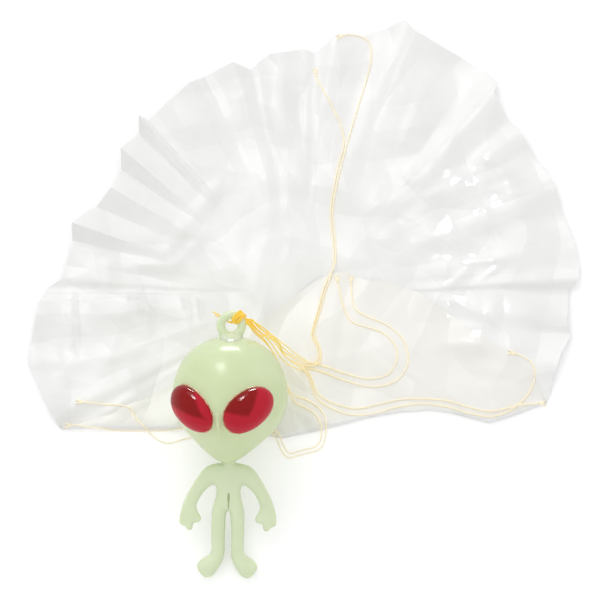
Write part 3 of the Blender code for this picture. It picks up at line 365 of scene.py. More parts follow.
# Routes of the lines from the ring's knot to the rim: x, y and the least height, which the film and
# the lines underneath raise.
LINE_ROUTES = (
    (
        (-0.0092, -0.0154, 0.0175), (-0.0069, -0.0164, 0.0145), (-0.0048, -0.0173, 0.0115),
        (-0.0029, -0.0177, 0.0075), (-0.0007, -0.0175, 0.0035), (0.0014, -0.0180, 0),
        (0.0030, -0.0175, 0), (0.0035, -0.0161, 0), (0.0031, -0.0138, 0), (0.0021, -0.0115, 0),
        (0.0020, -0.0097, 0), (0.0034, -0.0044, 0), (0.0046, 0.0005, 0), (0.0060, 0.0041, 0),
        (0.0072, 0.0064, 0), (0.0078, 0.0095, 0), (0.0077, 0.0137, 0), (0.0071, 0.0202, 0),
        (0.0075, 0.0254, 0), (0.0092, 0.0333, 0), (0.0109, 0.0400, 0), (0.0129, 0.0469, 0),
        (0.0152, 0.0547, 0), (0.0167, 0.0609, 0), (0.0167, 0.0655, 0), (0.0148, 0.0676, 0),
        (0.0116, 0.0681, 0), (0.0096, 0.0677, 0),
    ),
    (
        (-0.0097, -0.0159, 0.0172), (-0.0074, -0.0169, 0.0142), (-0.0053, -0.0177, 0.0112),
        (-0.0034, -0.0180, 0.0075), (-0.0010, -0.0181, 0.0035), (0.0014, -0.0187, 0),
        (0.0036, -0.0181, 0), (0.0041, -0.0161, 0), (0.0036, -0.0135, 0), (0.0027, -0.0113, 0),
        (0.0025, -0.0095, 0), (0.0039, -0.0046, 0), (0.0052, 0.0005, 0), (0.0063, 0.0036, 0),
        (0.0072, 0.0080, 0), (0.0071, 0.0137, 0), (0.0065, 0.0199, 0), (0.0069, 0.0252, 0),
        (0.0084, 0.0331, 0), (0.0099, 0.0392, 0), (0.0092, 0.0442, 0), (0.0072, 0.0485, 0),
        (0.0053, 0.0525, 0), (0.0034, 0.0558, 0), (0.0030, 0.0579, 0),
    ),
    (
        (-0.0089, -0.0150, 0.0178), (-0.0064, -0.0160, 0.0148), (-0.0041, -0.0169, 0.0118),
        (-0.0019, -0.0176, 0.0080), (0.0005, -0.0180, 0.0040), (0.0029, -0.0183, 0),
        (0.0058, -0.0191, 0), (0.0101, -0.0206, 0), (0.0154, -0.0219, 0), (0.0200, -0.0209, 0),
        (0.0224, -0.0173, 0), (0.0220, -0.0133, 0), (0.0191, -0.0102, 0), (0.0150, -0.0087, 0),
        (0.0116, -0.0074, 0), (0.0100, -0.0046, 0), (0.0090, -0.0010, 0), (0.0082, 0.0031, 0),
    ),
    (
        (-0.0101, -0.0163, 0.0169), (-0.0079, -0.0173, 0.0139), (-0.0057, -0.0181, 0.0109),
        (-0.0037, -0.0187, 0.0075), (-0.0010, -0.0189, 0.0035), (0.0022, -0.0195, 0),
        (0.0053, -0.0206, 0), (0.0101, -0.0224, 0), (0.0164, -0.0239, 0), (0.0221, -0.0224, 0),
        (0.0251, -0.0178, 0), (0.0242, -0.0123, 0), (0.0206, -0.0085, 0), (0.0162, -0.0064, 0),
        (0.0129, -0.0046, 0), (0.0117, -0.0013, 0), (0.0115, 0.0031, 0),
    ),
    (
        (-0.0114, -0.0151, 0.0178), (-0.0094, -0.0168, 0.0165), (-0.0074, -0.0193, 0.0150),
        (-0.0056, -0.0222, 0.0125), (-0.0043, -0.0249, 0.0090), (-0.0034, -0.0260, 0.0050),
        (-0.0019, -0.0264, 0.0024), (-0.0002, -0.0268, 0), (0.0019, -0.0279, 0), (0.0038, -0.0294, 0),
        (0.0050, -0.0314, 0), (0.0053, -0.0341, 0), (0.0049, -0.0371, 0), (0.0036, -0.0391, 0),
        (0.0009, -0.0400, 0), (-0.0017, -0.0407, 0), (-0.0038, -0.0412, 0), (-0.0054, -0.0393, 0),
        (-0.0066, -0.0366, 0), (-0.0086, -0.0349, 0), (-0.0120, -0.0349, 0), (-0.0153, -0.0354, 0),
        (-0.0213, -0.0361, 0), (-0.0273, -0.0362, 0), (-0.0306, -0.0371, 0), (-0.0332, -0.0375, 0),
        (-0.0359, -0.0361, 0), (-0.0383, -0.0338, 0), (-0.0406, -0.0314, 0), (-0.0415, -0.0294, 0),
        (-0.0439, -0.0284, 0), (-0.0476, -0.0281, 0), (-0.0509, -0.0279, 0), (-0.0533, -0.0278, 0),
    ),
    (
        (-0.0117, -0.0153, 0.0174), (-0.0095, -0.0169, 0.0162), (-0.0073, -0.0190, 0.0138),
        (-0.0055, -0.0218, 0.0106), (-0.0043, -0.0245, 0.0070), (-0.0036, -0.0262, 0.0040),
        (-0.0024, -0.0276, 0.0022), (-0.0007, -0.0286, 0), (0.0017, -0.0299, 0), (0.0033, -0.0316, 0),
        (0.0042, -0.0341, 0), (0.0039, -0.0369, 0), (0.0025, -0.0385, 0), (-0.0005, -0.0393, 0),
        (-0.0034, -0.0401, 0), (-0.0049, -0.0381, 0), (-0.0060, -0.0358, 0), (-0.0086, -0.0339, 0),
        (-0.0125, -0.0338, 0), (-0.0177, -0.0338, 0), (-0.0249, -0.0340, 0), (-0.0321, -0.0343, 0),
        (-0.0393, -0.0344, 0), (-0.0460, -0.0343, 0), (-0.0513, -0.0339, 0), (-0.0558, -0.0333, 0),
    ),
    (
        (-0.0108, -0.0149, 0.0181), (-0.0088, -0.0163, 0.0167), (-0.0070, -0.0183, 0.0150),
        (-0.0055, -0.0199, 0.0125), (-0.0038, -0.0205, 0.0090), (-0.0019, -0.0202, 0.0050),
        (-0.0002, -0.0197, 0), (0.0010, -0.0211, 0), (0.0017, -0.0231, 0), (0.0024, -0.0256, 0),
        (0.0038, -0.0276, 0), (0.0069, -0.0294, 0), (0.0110, -0.0308, 0), (0.0163, -0.0306, 0),
        (0.0218, -0.0290, 0), (0.0278, -0.0281, 0), (0.0341, -0.0288, 0), (0.0393, -0.0304, 0),
        (0.0441, -0.0313, 0), (0.0482, -0.0304, 0), (0.0519, -0.0279, 0), (0.0543, -0.0249, 0),
        (0.0556, -0.0214, 0), (0.0550, -0.0181, 0), (0.0526, -0.0163, 0), (0.0507, -0.0156, 0),
    ),
    (
        (-0.0104, -0.0145, 0.0184), (-0.0083, -0.0158, 0.0170), (-0.0064, -0.0177, 0.0150),
        (-0.0048, -0.0192, 0.0123), (-0.0030, -0.0198, 0.0090), (-0.0012, -0.0197, 0.0050),
        (0.0006, -0.0199, 0), (0.0019, -0.0219, 0), (0.0029, -0.0249, 0), (0.0048, -0.0269, 0),
        (0.0082, -0.0284, 0), (0.0129, -0.0293, 0), (0.0182, -0.0281, 0), (0.0235, -0.0270, 0),
        (0.0291, -0.0269, 0), (0.0346, -0.0274, 0), (0.0398, -0.0290, 0), (0.0446, -0.0300, 0),
        (0.0489, -0.0291, 0), (0.0528, -0.0283, 0), (0.0567, -0.0279, 0),
    ),
)

# Colours, as the eye sees them.
PLASTIC_DEEP = "#D5E2B4"
PLASTIC_PALE = "#E0ECC4"
# The body and ring are thin; their lighter copy of the plastic is painted light for the card's light
# coming through them.
PAINTED_LIT_DEEP = "#DDE9C4"
PAINTED_LIT_PALE = "#E6F0D2"
# Eye's red, lighter below as a painted glow, and the painted shade of its upper part.
EYE_LOW = "#C01C30"
EYE_PAINTED_SHADE = "#900F10"
GLUE_DARK = "#C98A58"
GLUE_PALE = "#E8CBA4"
# Thread's yellow with painted light: deep in the bundle at the ring's knot, pale where one lies alone.
THREAD_NEAR = "#FFD85C"
THREAD_MIDDLE = "#FFE6A0"
THREAD_FAR = "#FFF3D8"
# Painted glow: share of its colour that the thread gives off as light of its own, on top.
THREAD_PAINTED_GLOW = 0.14
FILM_SHADE = "#F2F2F1"
FILM_LIGHT = "#F9F9F8"
# Tint of one layer of film, and of two.
FILM_SINGLE = "#FFFFFF"
FILM_DOUBLE = "#FFFEFA"
CARD = "#F4F4F4"
CARD_LIFT = 0.3

# Sizes of the patterns in the finishes: clouds of colour, the mould's orange peel, lumps in the glue
# and tufts of fibres.
PLASTIC_CLOUD = 0.008
MOULD_PEEL = 0.0007
EYE_CLOUD = 0.003
GLUE_LUMP = 0.0008
FIBRE_TUFT = 0.00025
FILM_CLOUD = 0.012
# Fine folds of the film that its pleats leave along the rays: width and height, the distance from
# the middle at which the width is true, their stretch outward, and where they begin and are full.
RAY_FOLD_WIDTH = 0.005
RAY_FOLD_RISE = 0.0004
RAY_FOLD_REACH = 0.045
RAY_FOLD_STRETCH_SHARE = 0.33
RAY_FOLD_START = 0.02
RAY_FOLD_FULL = 0.05
# Fine folds from handling: direction, width and height.
HANDLING_FOLDS = (
    ("X", 0.010, 0.0007), ("Y", 0.009, 0.0004), ("DIAGONAL", 0.007, 0.0005),
)
# Length of a wave that the wave texture draws at a scale of 1.
WAVE_PERIOD = 0.314
# Facets that glint: their width and slope, and the place and half sizes of their patch.
GLINT_FACET = 0.0032
GLINT_TILT = 0.5
GLINT_PLACE = (0.042, 0.014, 0.0)
GLINT_SIZE = (0.010, 0.026)

# Light: strength of the surround; each lamp's name, direction from +Y towards +X and upward in
# degrees, distance, size, power and whether it only shows in glossy surfaces.
SURROUND = 0.84
LAMPS = (
    ("key_box", -26, 45, 1.2, (0.7, 0.7), 2.6, False),
    ("key_core", -29, 54, 1.19, (0.3, 0.38), 12, True),
    ("back_strip", -1, 3, 1.2, (0.42, 0.09), 12, True),
)
# Card under the toy: how far down it lies, and its size.
FLOOR_DROP = 0.00003
FLOOR_SIZE = 4


def pick(piece):
    """Make a piece the only selected one, and the active one."""
    bpy.ops.object.select_all(action="DESELECT")
    piece.select_set(True)
    bpy.context.view_layer.objects.active = piece


def edit(piece, chosen=None):
    """Open a piece in edit mode, with all its vertices selected or those that pass a test."""
    pick(piece)
    bpy.ops.object.mode_set(mode="EDIT")
    bpy.ops.mesh.select_mode(type="VERT")
    bpy.ops.mesh.select_all(action="SELECT")
    if chosen:
        bpy.ops.mesh.select_all(action="DESELECT")
        form = bmesh.from_edit_mesh(piece.data)
        for vertex in form.verts:
            vertex.select = chosen(vertex.co)
        form.select_flush(True)
        bmesh.update_edit_mesh(piece.data)


def leave_edit():
    bpy.ops.object.mode_set(mode="OBJECT")


def apply_place(piece):
    pick(piece)
    bpy.ops.object.transform_apply(location=True, rotation=True, scale=True)


def named(name):
    """Give the piece that was just added its name, and take its place into its mesh."""
    piece = bpy.context.object
    piece.name = piece.data.name = name
    apply_place(piece)
    return piece


def lay_in(piece, place):
    """Put a piece that was modelled in the figure's own frame in its place on the ground."""
    piece.matrix_world = place
    apply_place(piece)


def finish_step(piece, step):
    pick(piece)
    bpy.ops.object.modifier_apply(modifier=step.name)


def boolean(piece, other, operation):
    """Cut or join another shape, and remove it."""
    step = piece.modifiers.new(operation.lower(), "BOOLEAN")
    step.operation = operation
    step.object = other
    finish_step(piece, step)
    bpy.data.objects.remove(other)


def melt(piece, cell, rounds):
    """Melt a piece's parts into one skin and smooth it."""
    step = piece.modifiers.new("melt", "REMESH")
    step.mode = "VOXEL"
    step.voxel_size = cell
    finish_step(piece, step)
    step = piece.modifiers.new("even", "SMOOTH")
    step.factor = 0.5
    step.iterations = rounds
    finish_step(piece, step)


def smooth_shaded(piece, degrees):
    pick(piece)
    bpy.ops.object.shade_smooth_by_angle(angle=math.radians(degrees))


def dress(piece, finish, body):
    """Give a finished piece its material and the body that it moves with."""
    piece.data.materials.clear()
    piece.data.materials.append(finish)
    if body:
        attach(piece, body)


def linear(colour):
    """Linear colour of an sRGB hex value."""
    parts = [int(colour[k:k + 2], 16) / 255 for k in (1, 3, 5)]
    return (*(c / 12.92 if c <= 0.04045 else ((c + 0.055) / 1.055) ** 2.4 for c in parts), 1)


def add_node(finish, kind, inputs=None, stops=None, out=0, **settings):
    """Add a node and return one output of it; an input is a value or another node's output."""
    tree = finish.node_tree
    made = tree.nodes.new(f"ShaderNode{kind}")
    for name, value in settings.items():
        setattr(made, name, value)
    for name, value in (inputs or {}).items():
        if isinstance(value, bpy.types.NodeSocket):
            tree.links.new(value, made.inputs[name])
        else:
            made.inputs[name].default_value = value
    if stops:
        ramp = made.color_ramp
        while len(ramp.elements) < len(stops):
            ramp.elements.new(1)
        for stop, (place, colour) in zip(ramp.elements, stops):
            stop.position = place
            stop.color = linear(colour)
    return made.outputs[out]


def new_finish(name):
    finish = bpy.data.materials.new(name)
    finish.use_nodes = True
    finish.node_tree.nodes.clear()
    return finish


def close_finish(finish, shader):
    """Send a shader to the material's output."""
    made = finish.node_tree.nodes.new("ShaderNodeOutputMaterial")
    finish.node_tree.links.new(shader, made.inputs["Surface"])
    return finish


def between(table, place):
    """Value of a table of pairs at a place, read along straight lines."""
    for (x0, v0), (x1, v1) in zip(table, table[1:]):
        if place <= x1:
            return v0 + (v1 - v0) * max(0, place - x0) / (x1 - x0)
    return table[-1][1]


def curve_through(places, steps):
    """Points along a smooth curve through a list of places."""
    ends = [2 * places[0] - places[1], *places, 2 * places[-1] - places[-2]]
    points = []
    for a, b, c, d in zip(ends, ends[1:], ends[2:], ends[3:]):
        for step in range(steps):
            t = step / steps
            bend = 2 * a - 5 * b + 4 * c - d
            points.append((2 * b + (c - a) * t + bend * t**2 + (3 * b - a - 3 * c + d) * t**3) / 2)
    points.append(places[-1].copy())
    return points


def head_outline():
    """Height over the chin and radius, along the head's smooth profile."""
    corners = [
        Vector((share * HEAD_HEIGHT, radius * HEAD_RADIUS)) for share, radius in HEAD_PROFILE_SHARES
    ]
    return [tuple(point) for point in curve_through(corners, HEAD_STEPS)]


HEAD_OUTLINE = head_outline()


def chin_shift(height):
    """How far forward the head's centre lies at a height over its chin."""
    share = max(0, 1 - height / HEAD_HEIGHT / CHIN_BEND_SHARE)
    return CHIN_FORWARD * share**2


def head_point(bearing, height, out=0):
    """Point on the head's skin, or a distance out from it, at a bearing from the nose."""
    above, below = (between(HEAD_OUTLINE, height + way * HEAD_SLOPE_STEP) for way in (1, -1))
    lean = math.atan((above - below) / (2 * HEAD_SLOPE_STEP))
    reach = between(HEAD_OUTLINE, height) + out * math.cos(lean)
    return Vector((
        reach * math.sin(bearing),
        height + CHIN_CLEARANCE - out * math.sin(lean),
        reach * math.cos(bearing) + chin_shift(height),
    ))


def blob(name, place, turn, size):
    """Egg-shaped lump."""
    bpy.ops.mesh.primitive_uv_sphere_add(
        segments=ROUND_SIDES, ring_count=ROUND_SIDES // 2, radius=1, location=place,
        rotation=turn, scale=size,
    )
    return named(name)


def block(name, low, high):
    """Box between two corners."""
    low, high = Vector(low), Vector(high)
    bpy.ops.mesh.primitive_cube_add(size=1, location=(low + high) / 2, scale=high - low)
    return named(name)


def rod(name, radius, low, high):
    """Round bar along the figure's long axis."""
    bpy.ops.mesh.primitive_cylinder_add(
        vertices=ROUND_SIDES, radius=radius, depth=high - low, location=(0, (low + high) / 2, 0),
        rotation=(math.pi / 2, 0, 0),
    )
    return named(name)


def surface_of(piece):
    """Search tree of a piece's faces."""
    mesh = piece.data
    return BVHTree.FromPolygons(
        [vertex.co for vertex in mesh.vertices], [face.vertices for face in mesh.polygons]
    )


def copy_of(piece, name):
    made = piece.copy()
    made.data = piece.data.copy()
    made.name = made.data.name = name
    bpy.context.collection.objects.link(made)
    return made


def piece_from(form, name):
    """Piece of its own from a mesh that was built point by point."""
    mesh = bpy.data.meshes.new(name)
    form.to_mesh(mesh)
    form.free()
    piece = bpy.data.objects.new(name, mesh)
    bpy.context.collection.objects.link(piece)
    return piece


def make_skull():
    """Egg of the head, rings drawn up from the chin along its profile, with nose ridge and lip."""
    low, radius = HEAD_OUTLINE[0]
    bpy.ops.mesh.primitive_circle_add(
        vertices=HEAD_SIDES, radius=radius, fill_type="NGON",
        location=(0, low + CHIN_CLEARANCE, chin_shift(low)), rotation=(math.pi / 2, 0, 0),
    )
    skull = named("skull")
    edit(skull)
    for (below, inner), (above, outer) in zip(HEAD_OUTLINE, HEAD_OUTLINE[1:]):
        way = (0, above - below, chin_shift(above) - chin_shift(below))
        bpy.ops.mesh.extrude_region_move(TRANSFORM_OT_translate={"value": way})
        grow = outer / inner
        centre = (0, above + CHIN_CLEARANCE, chin_shift(above))
        bpy.ops.transform.resize(value=(grow, 1, grow), center_override=centre)
    bpy.ops.mesh.select_all(action="SELECT")
    bpy.ops.mesh.normals_make_consistent(inside=False)
    leave_edit()
    egg = surface_of(skull)
    for name, (height, width, thick, length) in (("nose", NOSE), ("lip", LIP)):
        below, above = (head_point(0, height + way * length) for way in (-0.5, 0.5))
        turn = (math.atan2(above.z - below.z, above.y - below.y), 0, 0)
        lump = blob(name, head_point(0, height, -thick / 2), turn, (width, length, thick))
        boolean(skull, lump, "UNION")
    melt(skull, *HEAD_MELT)
    for vertex in skull.data.vertices:
        place, _, _, away = egg.find_nearest(vertex.co)
        vertex.co = vertex.co.lerp(place, max(0, min(1, 2 - away / SKIN_REACH)))
    return skull


def eye_blank(name, spread, dome, depth):
    """Eye laid out flat: a dome over a shallow bowl, wider by a spread all round."""
    made = blob(name, (0, 0, 0), (0, math.pi / 2, 0), (1, 1, 1))
    for height, side in ((dome, 1), (depth, -1)):
        edit(made, lambda co, side=side: co.z * side > GAP)
        bpy.ops.transform.resize(value=(1, 1, height), center_override=(0, 0, 0))
        leave_edit()
    edit(made)
    size = (EYE_LENGTH / 2 + spread, EYE_WIDTH / 2 + spread, 1)
    bpy.ops.transform.resize(value=size, center_override=(0, 0, 0))
    leave_edit()
    return made


def tilted(along, across):
    """Sideways and upward place on the head of a place along and across an eye."""
    return (
        along * math.cos(EYE_TILT) - across * math.sin(EYE_TILT),
        along * math.sin(EYE_TILT) + across * math.cos(EYE_TILT),
    )


def wrap_on_head(piece, side, leaning=False):
    """Bend a flat piece round the head where an eye sits; side is -1 or 1."""
    around = between(HEAD_OUTLINE, EYE_HEIGHT)
    for vertex in piece.data.vertices:
        along, across, out = vertex.co
        sideways, upward = tilted(along, across)
        bearing = side * (EYE_BEARING + sideways / around)
        if leaning and out > -GAP:
            out += EYE_LEAN * max(0, sideways + EYE_LENGTH / 2)
        vertex.co = head_point(bearing, EYE_HEIGHT + upward, out)
    edit(piece)
    bpy.ops.mesh.normals_make_consistent(inside=False)
    leave_edit()


def mark_painted_shade(eye, side):
    """Store on a flat eye how far inside its painted shade each place is; 0.5 is the shade's edge."""
    corner_x, corner_y, slope, lean = EYE_PAINTED_SHADE_EDGES[side]
    levels = []
    for vertex in eye.data.vertices:
        sideways, upward = tilted(vertex.co.x, vertex.co.y)
        x = side * sideways - corner_x
        y = upward - corner_y
        levels.append(0.5 + min(y + slope * x, lean * y - x) / EYE_WIDTH)
    shade = eye.data.attributes.new("painted_shade", "FLOAT", "POINT")
    shade.data.foreach_set("value", levels)


def make_glue(name):
    """Uneven bead of glue that was squeezed out round an eye, laid out flat."""
    bar = 0.1
    bpy.ops.mesh.primitive_torus_add(
        major_segments=GLUE_SIDES, minor_segments=GLUE_BAR_SIDES, major_radius=1, minor_radius=bar
    )
    bead = named(name)
    for vertex in bead.data.vertices:
        turn = math.atan2(vertex.co.y, vertex.co.x)
        outward = (math.hypot(vertex.co.x, vertex.co.y) - 1) / bar
        upward = vertex.co.z / bar
        spot = Vector((GLUE_LUMPS * math.cos(turn), GLUE_LUMPS * math.sin(turn), len(name)))
        thick = GLUE_RADIUS * (1 + GLUE_UNEVEN_SHARE * noise.noise(spot))
        reach = GAP + thick * outward
        vertex.co = (
            (EYE_LENGTH / 2 + reach) * math.cos(turn),
            (EYE_WIDTH / 2 + reach) * math.sin(turn),
            thick * (GLUE_RAISED_SHARE + upward),
        )
    return bead


def make_head(plastic, red, glue):
    """Two halves of the shell, with the eyes in their sockets and the glue round them."""
    skull = make_skull()
    reach = HEAD_RADIUS + CHIN_FORWARD + OVERRUN
    top = HEAD_HEIGHT + CHIN_CLEARANCE + OVERRUN
    halves = []
    for node, back, front in (("head_front", -reach, SEAM / 2), ("head_back", -SEAM / 2, reach)):
        half = copy_of(skull, f"{node}_shell")
        waste = block("waste", (-reach, -OVERRUN, back), (reach, top, front))
        boolean(half, waste, "DIFFERENCE")
        neck_hole = rod("neck_hole", NECK_PEG_RADIUS + GAP, -OVERRUN, NECK_PEG_LENGTH + GAP)
        boolean(half, neck_hole, "DIFFERENCE")
        halves.append(half)
    for side, word in ((-1, "left"), (1, "right")):
        socket = eye_blank("socket", GAP, EYE_BULGE + OVERRUN, EYE_DEPTH + GAP)
        wrap_on_head(socket, side)
        boolean(halves[0], socket, "DIFFERENCE")
        eye = eye_blank(f"eye_{word}_dome", 0, EYE_BULGE, EYE_DEPTH)
        mark_painted_shade(eye, side)
        bead = make_glue(f"glue_{word}")
        for piece, finish in ((eye, red), (bead, glue)):
            wrap_on_head(piece, side, piece is eye)
            lay_in(piece, HEAD_FRAME)
            smooth_shaded(piece, EYE_SMOOTH)
            dress(piece, finish, "head")
        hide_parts(f"eye_{word}")
    for half, node in zip(halves, ("head_front", "head_back")):
        lay_in(half, HEAD_FRAME)
        smooth_shaded(half, HEAD_SMOOTH)
        dress(half, plastic, "head")
        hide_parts(node)
    return skull


def make_ring(skull, plastic):
    """Hanging ring on a stub that flares out on the head's crown."""
    bpy.ops.mesh.primitive_torus_add(
        major_segments=RING_SIDES, minor_segments=RING_BAR_SIDES, major_radius=RING_RADIUS,
        minor_radius=RING_BAR_RADIUS, location=(0, RING_HEIGHT, 0),
    )
    ring = named("ring_and_stub")
    low = HEAD_HEIGHT + CHIN_CLEARANCE - STUB_ROOT
    width, high, depth = STUB_SIZE
    stub = rod("stub", 1, low, low + high)
    edit(stub)
    bpy.ops.transform.resize(value=(width, 1, depth), center_override=(0, low, 0))
    leave_edit()
    boolean(ring, stub, "UNION")
    boolean(ring, blob("foot", FOOT_PLACE, (FOOT_LEAN, 0, 0), FOOT_SIZE), "UNION")
    melt(ring, *RING_MELT)
    boolean(ring, copy_of(skull, "seat"), "DIFFERENCE")
    lay_in(ring, BODY_FRAME)
    smooth_shaded(ring, RING_SMOOTH)
    dress(ring, plastic, "head")
    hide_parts("hanging_ring")


def make_body(plastic):
    """Body, arms and legs grown from a skeleton of knobs, with neck peg, leg gap and belly slot."""
    half = ARM_SPAN / 2
    knobs = list(BODY_SHARES)
    for word, side in (("left", -1), ("right", 1)):
        for name, origin, (x, y, z), girth in LIMB_SHARES:
            grows_from = origin if origin in ("chest", "hip") else f"{word}_{origin}"
            knobs.append((f"{word}_{name}", grows_from, (side * x, y, z), girth))
    places = {
        name: Vector((x * half, y * BODY_HEIGHT, z * BODY_DEPTH)) for name, _, (x, y, z), _ in knobs
    }
    bpy.ops.mesh.primitive_plane_add(size=GAP, location=places["neck"])
    body = named("body_moulding")
    edit(body)
    bpy.ops.mesh.merge(type="CENTER")
    leave_edit()
    order = ["neck"]
    for name, origin, _, _ in knobs[1:]:
        start = body.data.vertices[order.index(origin)].co.copy()
        edit(body, lambda co, start=start: (co - start).length < SAME_PLACE)
        way = places[name] - places[origin]
        bpy.ops.mesh.extrude_region_move(TRANSFORM_OT_translate={"value": way})
        leave_edit()
        order.append(name)
    skin = body.modifiers.new("flesh", "SKIN")
    girths = {name: girth for name, _, _, girth in knobs}
    for name, place in zip(order, body.data.skin_vertices[0].data):
        place.radius = [share * half for share in girths[name]]
        place.use_root = name == "hip"
    finish_step(body, skin)
    smooth = body.modifiers.new("smooth", "SUBSURF")
    smooth.levels = smooth.render_levels = BODY_LEVELS
    finish_step(body, smooth)
    over = block("over", (-half, 0, -half), (half, half, half))
    boolean(body, over, "DIFFERENCE")
    boolean(body, rod("neck_peg", NECK_PEG_RADIUS, -NECK_PEG_RADIUS, NECK_PEG_LENGTH), "UNION")
    gap_place, gap_size = LEG_GAP
    boolean(body, blob("leg_gap", gap_place, (0, 0, 0), gap_size), "DIFFERENCE")
    melt(body, *BODY_MELT)
    for slot_place, slot_size in BELLY_SLOTS:
        boolean(body, blob("belly_slot", slot_place, (0, 0, 0), slot_size), "DIFFERENCE")
    lay_in(body, BODY_FRAME)
    smooth_shaded(body, BODY_SMOOTH)
    dress(body, plastic, "torso")
    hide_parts("figure_body")


def hem_shift(x, y):
    """How far the hem's swing moves a point of the folded film along Y."""
    swing = CANOPY_RADIUS * between(HEM_SHARES, x / CANOPY_RADIUS)
    return swing * max(0, 1 - max(0, y - HEM_Y) / HEM_FADE)


def folded(x, y, rise):
    """Place of a point of the flat disc after the near part is folded over on top."""
    past = HEM_Y - y
    turn = math.pi * FOLD_RADIUS
    if past <= 0:
        place = Vector((x, y, rise))
    elif past < turn:
        angle = past / FOLD_RADIUS
        inward = Vector((0, math.sin(angle), math.cos(angle)))
        place = Vector((x, HEM_Y, FOLD_RADIUS)) - FOLD_RADIUS * inward
    else:
        place = Vector((x, HEM_Y + past - turn, 2 * FOLD_RADIUS + rise))
    place.y += hem_shift(x, place.y)
    return place


def crease_rise(table, x, y):
    """Height that the creases of a table give the film at a place."""
    rise = 0
    for x0, y0, x1, y1, height, width in table:
        along = Vector((x1 - x0, y1 - y0))
        reach = along.length
        offset = Vector((x / MM - x0, y / MM - y0))
        share = offset.dot(along) / reach**2
        aside = abs(offset.x * along.y - offset.y * along.x) / reach
        inside = min(share, 1 - share) + CREASE_PAST_SHARE
        if inside > 0 and aside < width:
            ends = min(1, inside / (2 * CREASE_PAST_SHARE))
            rise += height * MM * (1 - aside / width) * ends
    return rise


def crumple(x, y, cell):
    """Flat facets between bent folds, from 0 to 1, as crumpled film has once it is spread again."""
    spot = Vector((x / cell, y / cell, cell / MM))
    bent = spot + FOLD_BEND_SHARE * noise.noise_vector(spot / FOLD_BEND_LENGTH_SHARE)
    height = 0
    for number, turn in enumerate(FOLD_TURNS):
        spacing = FOLD_SPACING_SHARE + FOLD_WIDENING_SHARE * number
        wave = (bent.x * math.cos(turn) + bent.y * math.sin(turn)) / spacing
        wave += FOLD_SHIFT_SHARE * number
        height += abs(2 * (wave - math.floor(wave)) - 1)
    return height / len(FOLD_TURNS)


def headroom(x, y):
    """Height that the film may reach under the head."""
    aside = (x - HEAD_REST.x) ** 2 + (y - HEAD_REST.y) ** 2
    return HEAD_LOW - HEAD_CLEARANCE + aside / (2 * HEAD_RADIUS)


def flat_rim():
    """Rim of the unfolded disc, closely spaced: places with their rise, and where folds start."""
    corners = []
    for number, (x, y, rise) in enumerate(FAR_RIM_SHARES):
        sharp = number in CREASED_PLEATS
        height = rise * (PLEAT_RISE if sharp else SOFT_RISE)
        # A lower rim lies a little further out, so that its outline stays the same in the picture.
        sunk = (rise * PLEAT_RISE - height) / math.tan(CAMERA_ELEVATION)
        place = Vector((x * CANOPY_RADIUS, y * CANOPY_RADIUS + sunk, height))
        corners.append((place, CREASED_START_SHARE if sharp else RAYS_FLAT_SHARE, sharp))
    unfolded = 2 * HEM_Y - math.pi * FOLD_RADIUS
    for x, y, rise in LAP_RIM_SHARES:
        place = Vector((x * CANOPY_RADIUS, unfolded - y * CANOPY_RADIUS, rise * LAP_RISE))
        corners.append((place, RAYS_FLAT_SHARE, False))
    rim = []
    for (a, a_start, a_sharp), (b, b_start, b_sharp) in zip(corners, corners[1:] + corners[:1]):
        steps = max(1, round((b.xy - a.xy).length / RIM_STEP))
        for k in range(steps):
            share = k / steps
            place = a.lerp(b, share)
            if not (a_sharp and b_sharp):
                place.z = a.z + (b.z - a.z) * (0.5 - 0.5 * math.cos(math.pi * share))
            rim.append((place, a_start + (b_start - a_start) * share))
    return rim


def ray_shares(y):
    """Where the rings lie along a ray that ends at a rim point with this y."""
    count = RINGS_BEFORE_HEM + RINGS_IN_BEND + RINGS_AFTER_HEM
    even = [k / count for k in range(1, count + 1)]
    if y >= 0:
        return even
    hem = min(HEM_Y / y, 1 - 1 / count)
    turn = min(math.pi * FOLD_RADIUS / -y, 1 / count)
    before = [hem * k / RINGS_BEFORE_HEM for k in range(1, RINGS_BEFORE_HEM + 1)]
    bend = [hem + turn * k / RINGS_IN_BEND for k in range(1, RINGS_IN_BEND + 1)]
    left = count - len(before) - len(bend)
    after = [bend[-1] + (1 - bend[-1]) * k / left for k in range(1, left + 1)]
    weight = min(1, y / HEM_Y)
    return [
        plain + weight * (hemmed - plain) for plain, hemmed in zip(even, before + bend + after)
    ]


def lay_lap(form, lap, double):
    """Lower the folded part onto the film under it, right down at its rim."""
    form.verts.index_update()
    single = [
        [vertex.index for vertex in face.verts] for face in form.faces
        if not any(vertex[double] for vertex in face.verts)
    ]
    under = BVHTree.FromPolygons([vertex.co for vertex in form.verts], single)
    for point, past, edge in lap:
        x, y, _ = point.co
        place = under.ray_cast((x, y, CANOPY_RADIUS), (0, 0, -1))[0]
        extra = LAP_CRUMPLE * crumple(x, y, LAP_CELL) + crease_rise(LAP_CREASES, x, y)
        height = 2 * FOLD_RADIUS * (1 - past**2) + edge * extra + point.co.z - 2 * FOLD_RADIUS
        height = min(height, headroom(x, y))
        point.co.z = max(height, place.z + LAP_CLEAR if place else 0)


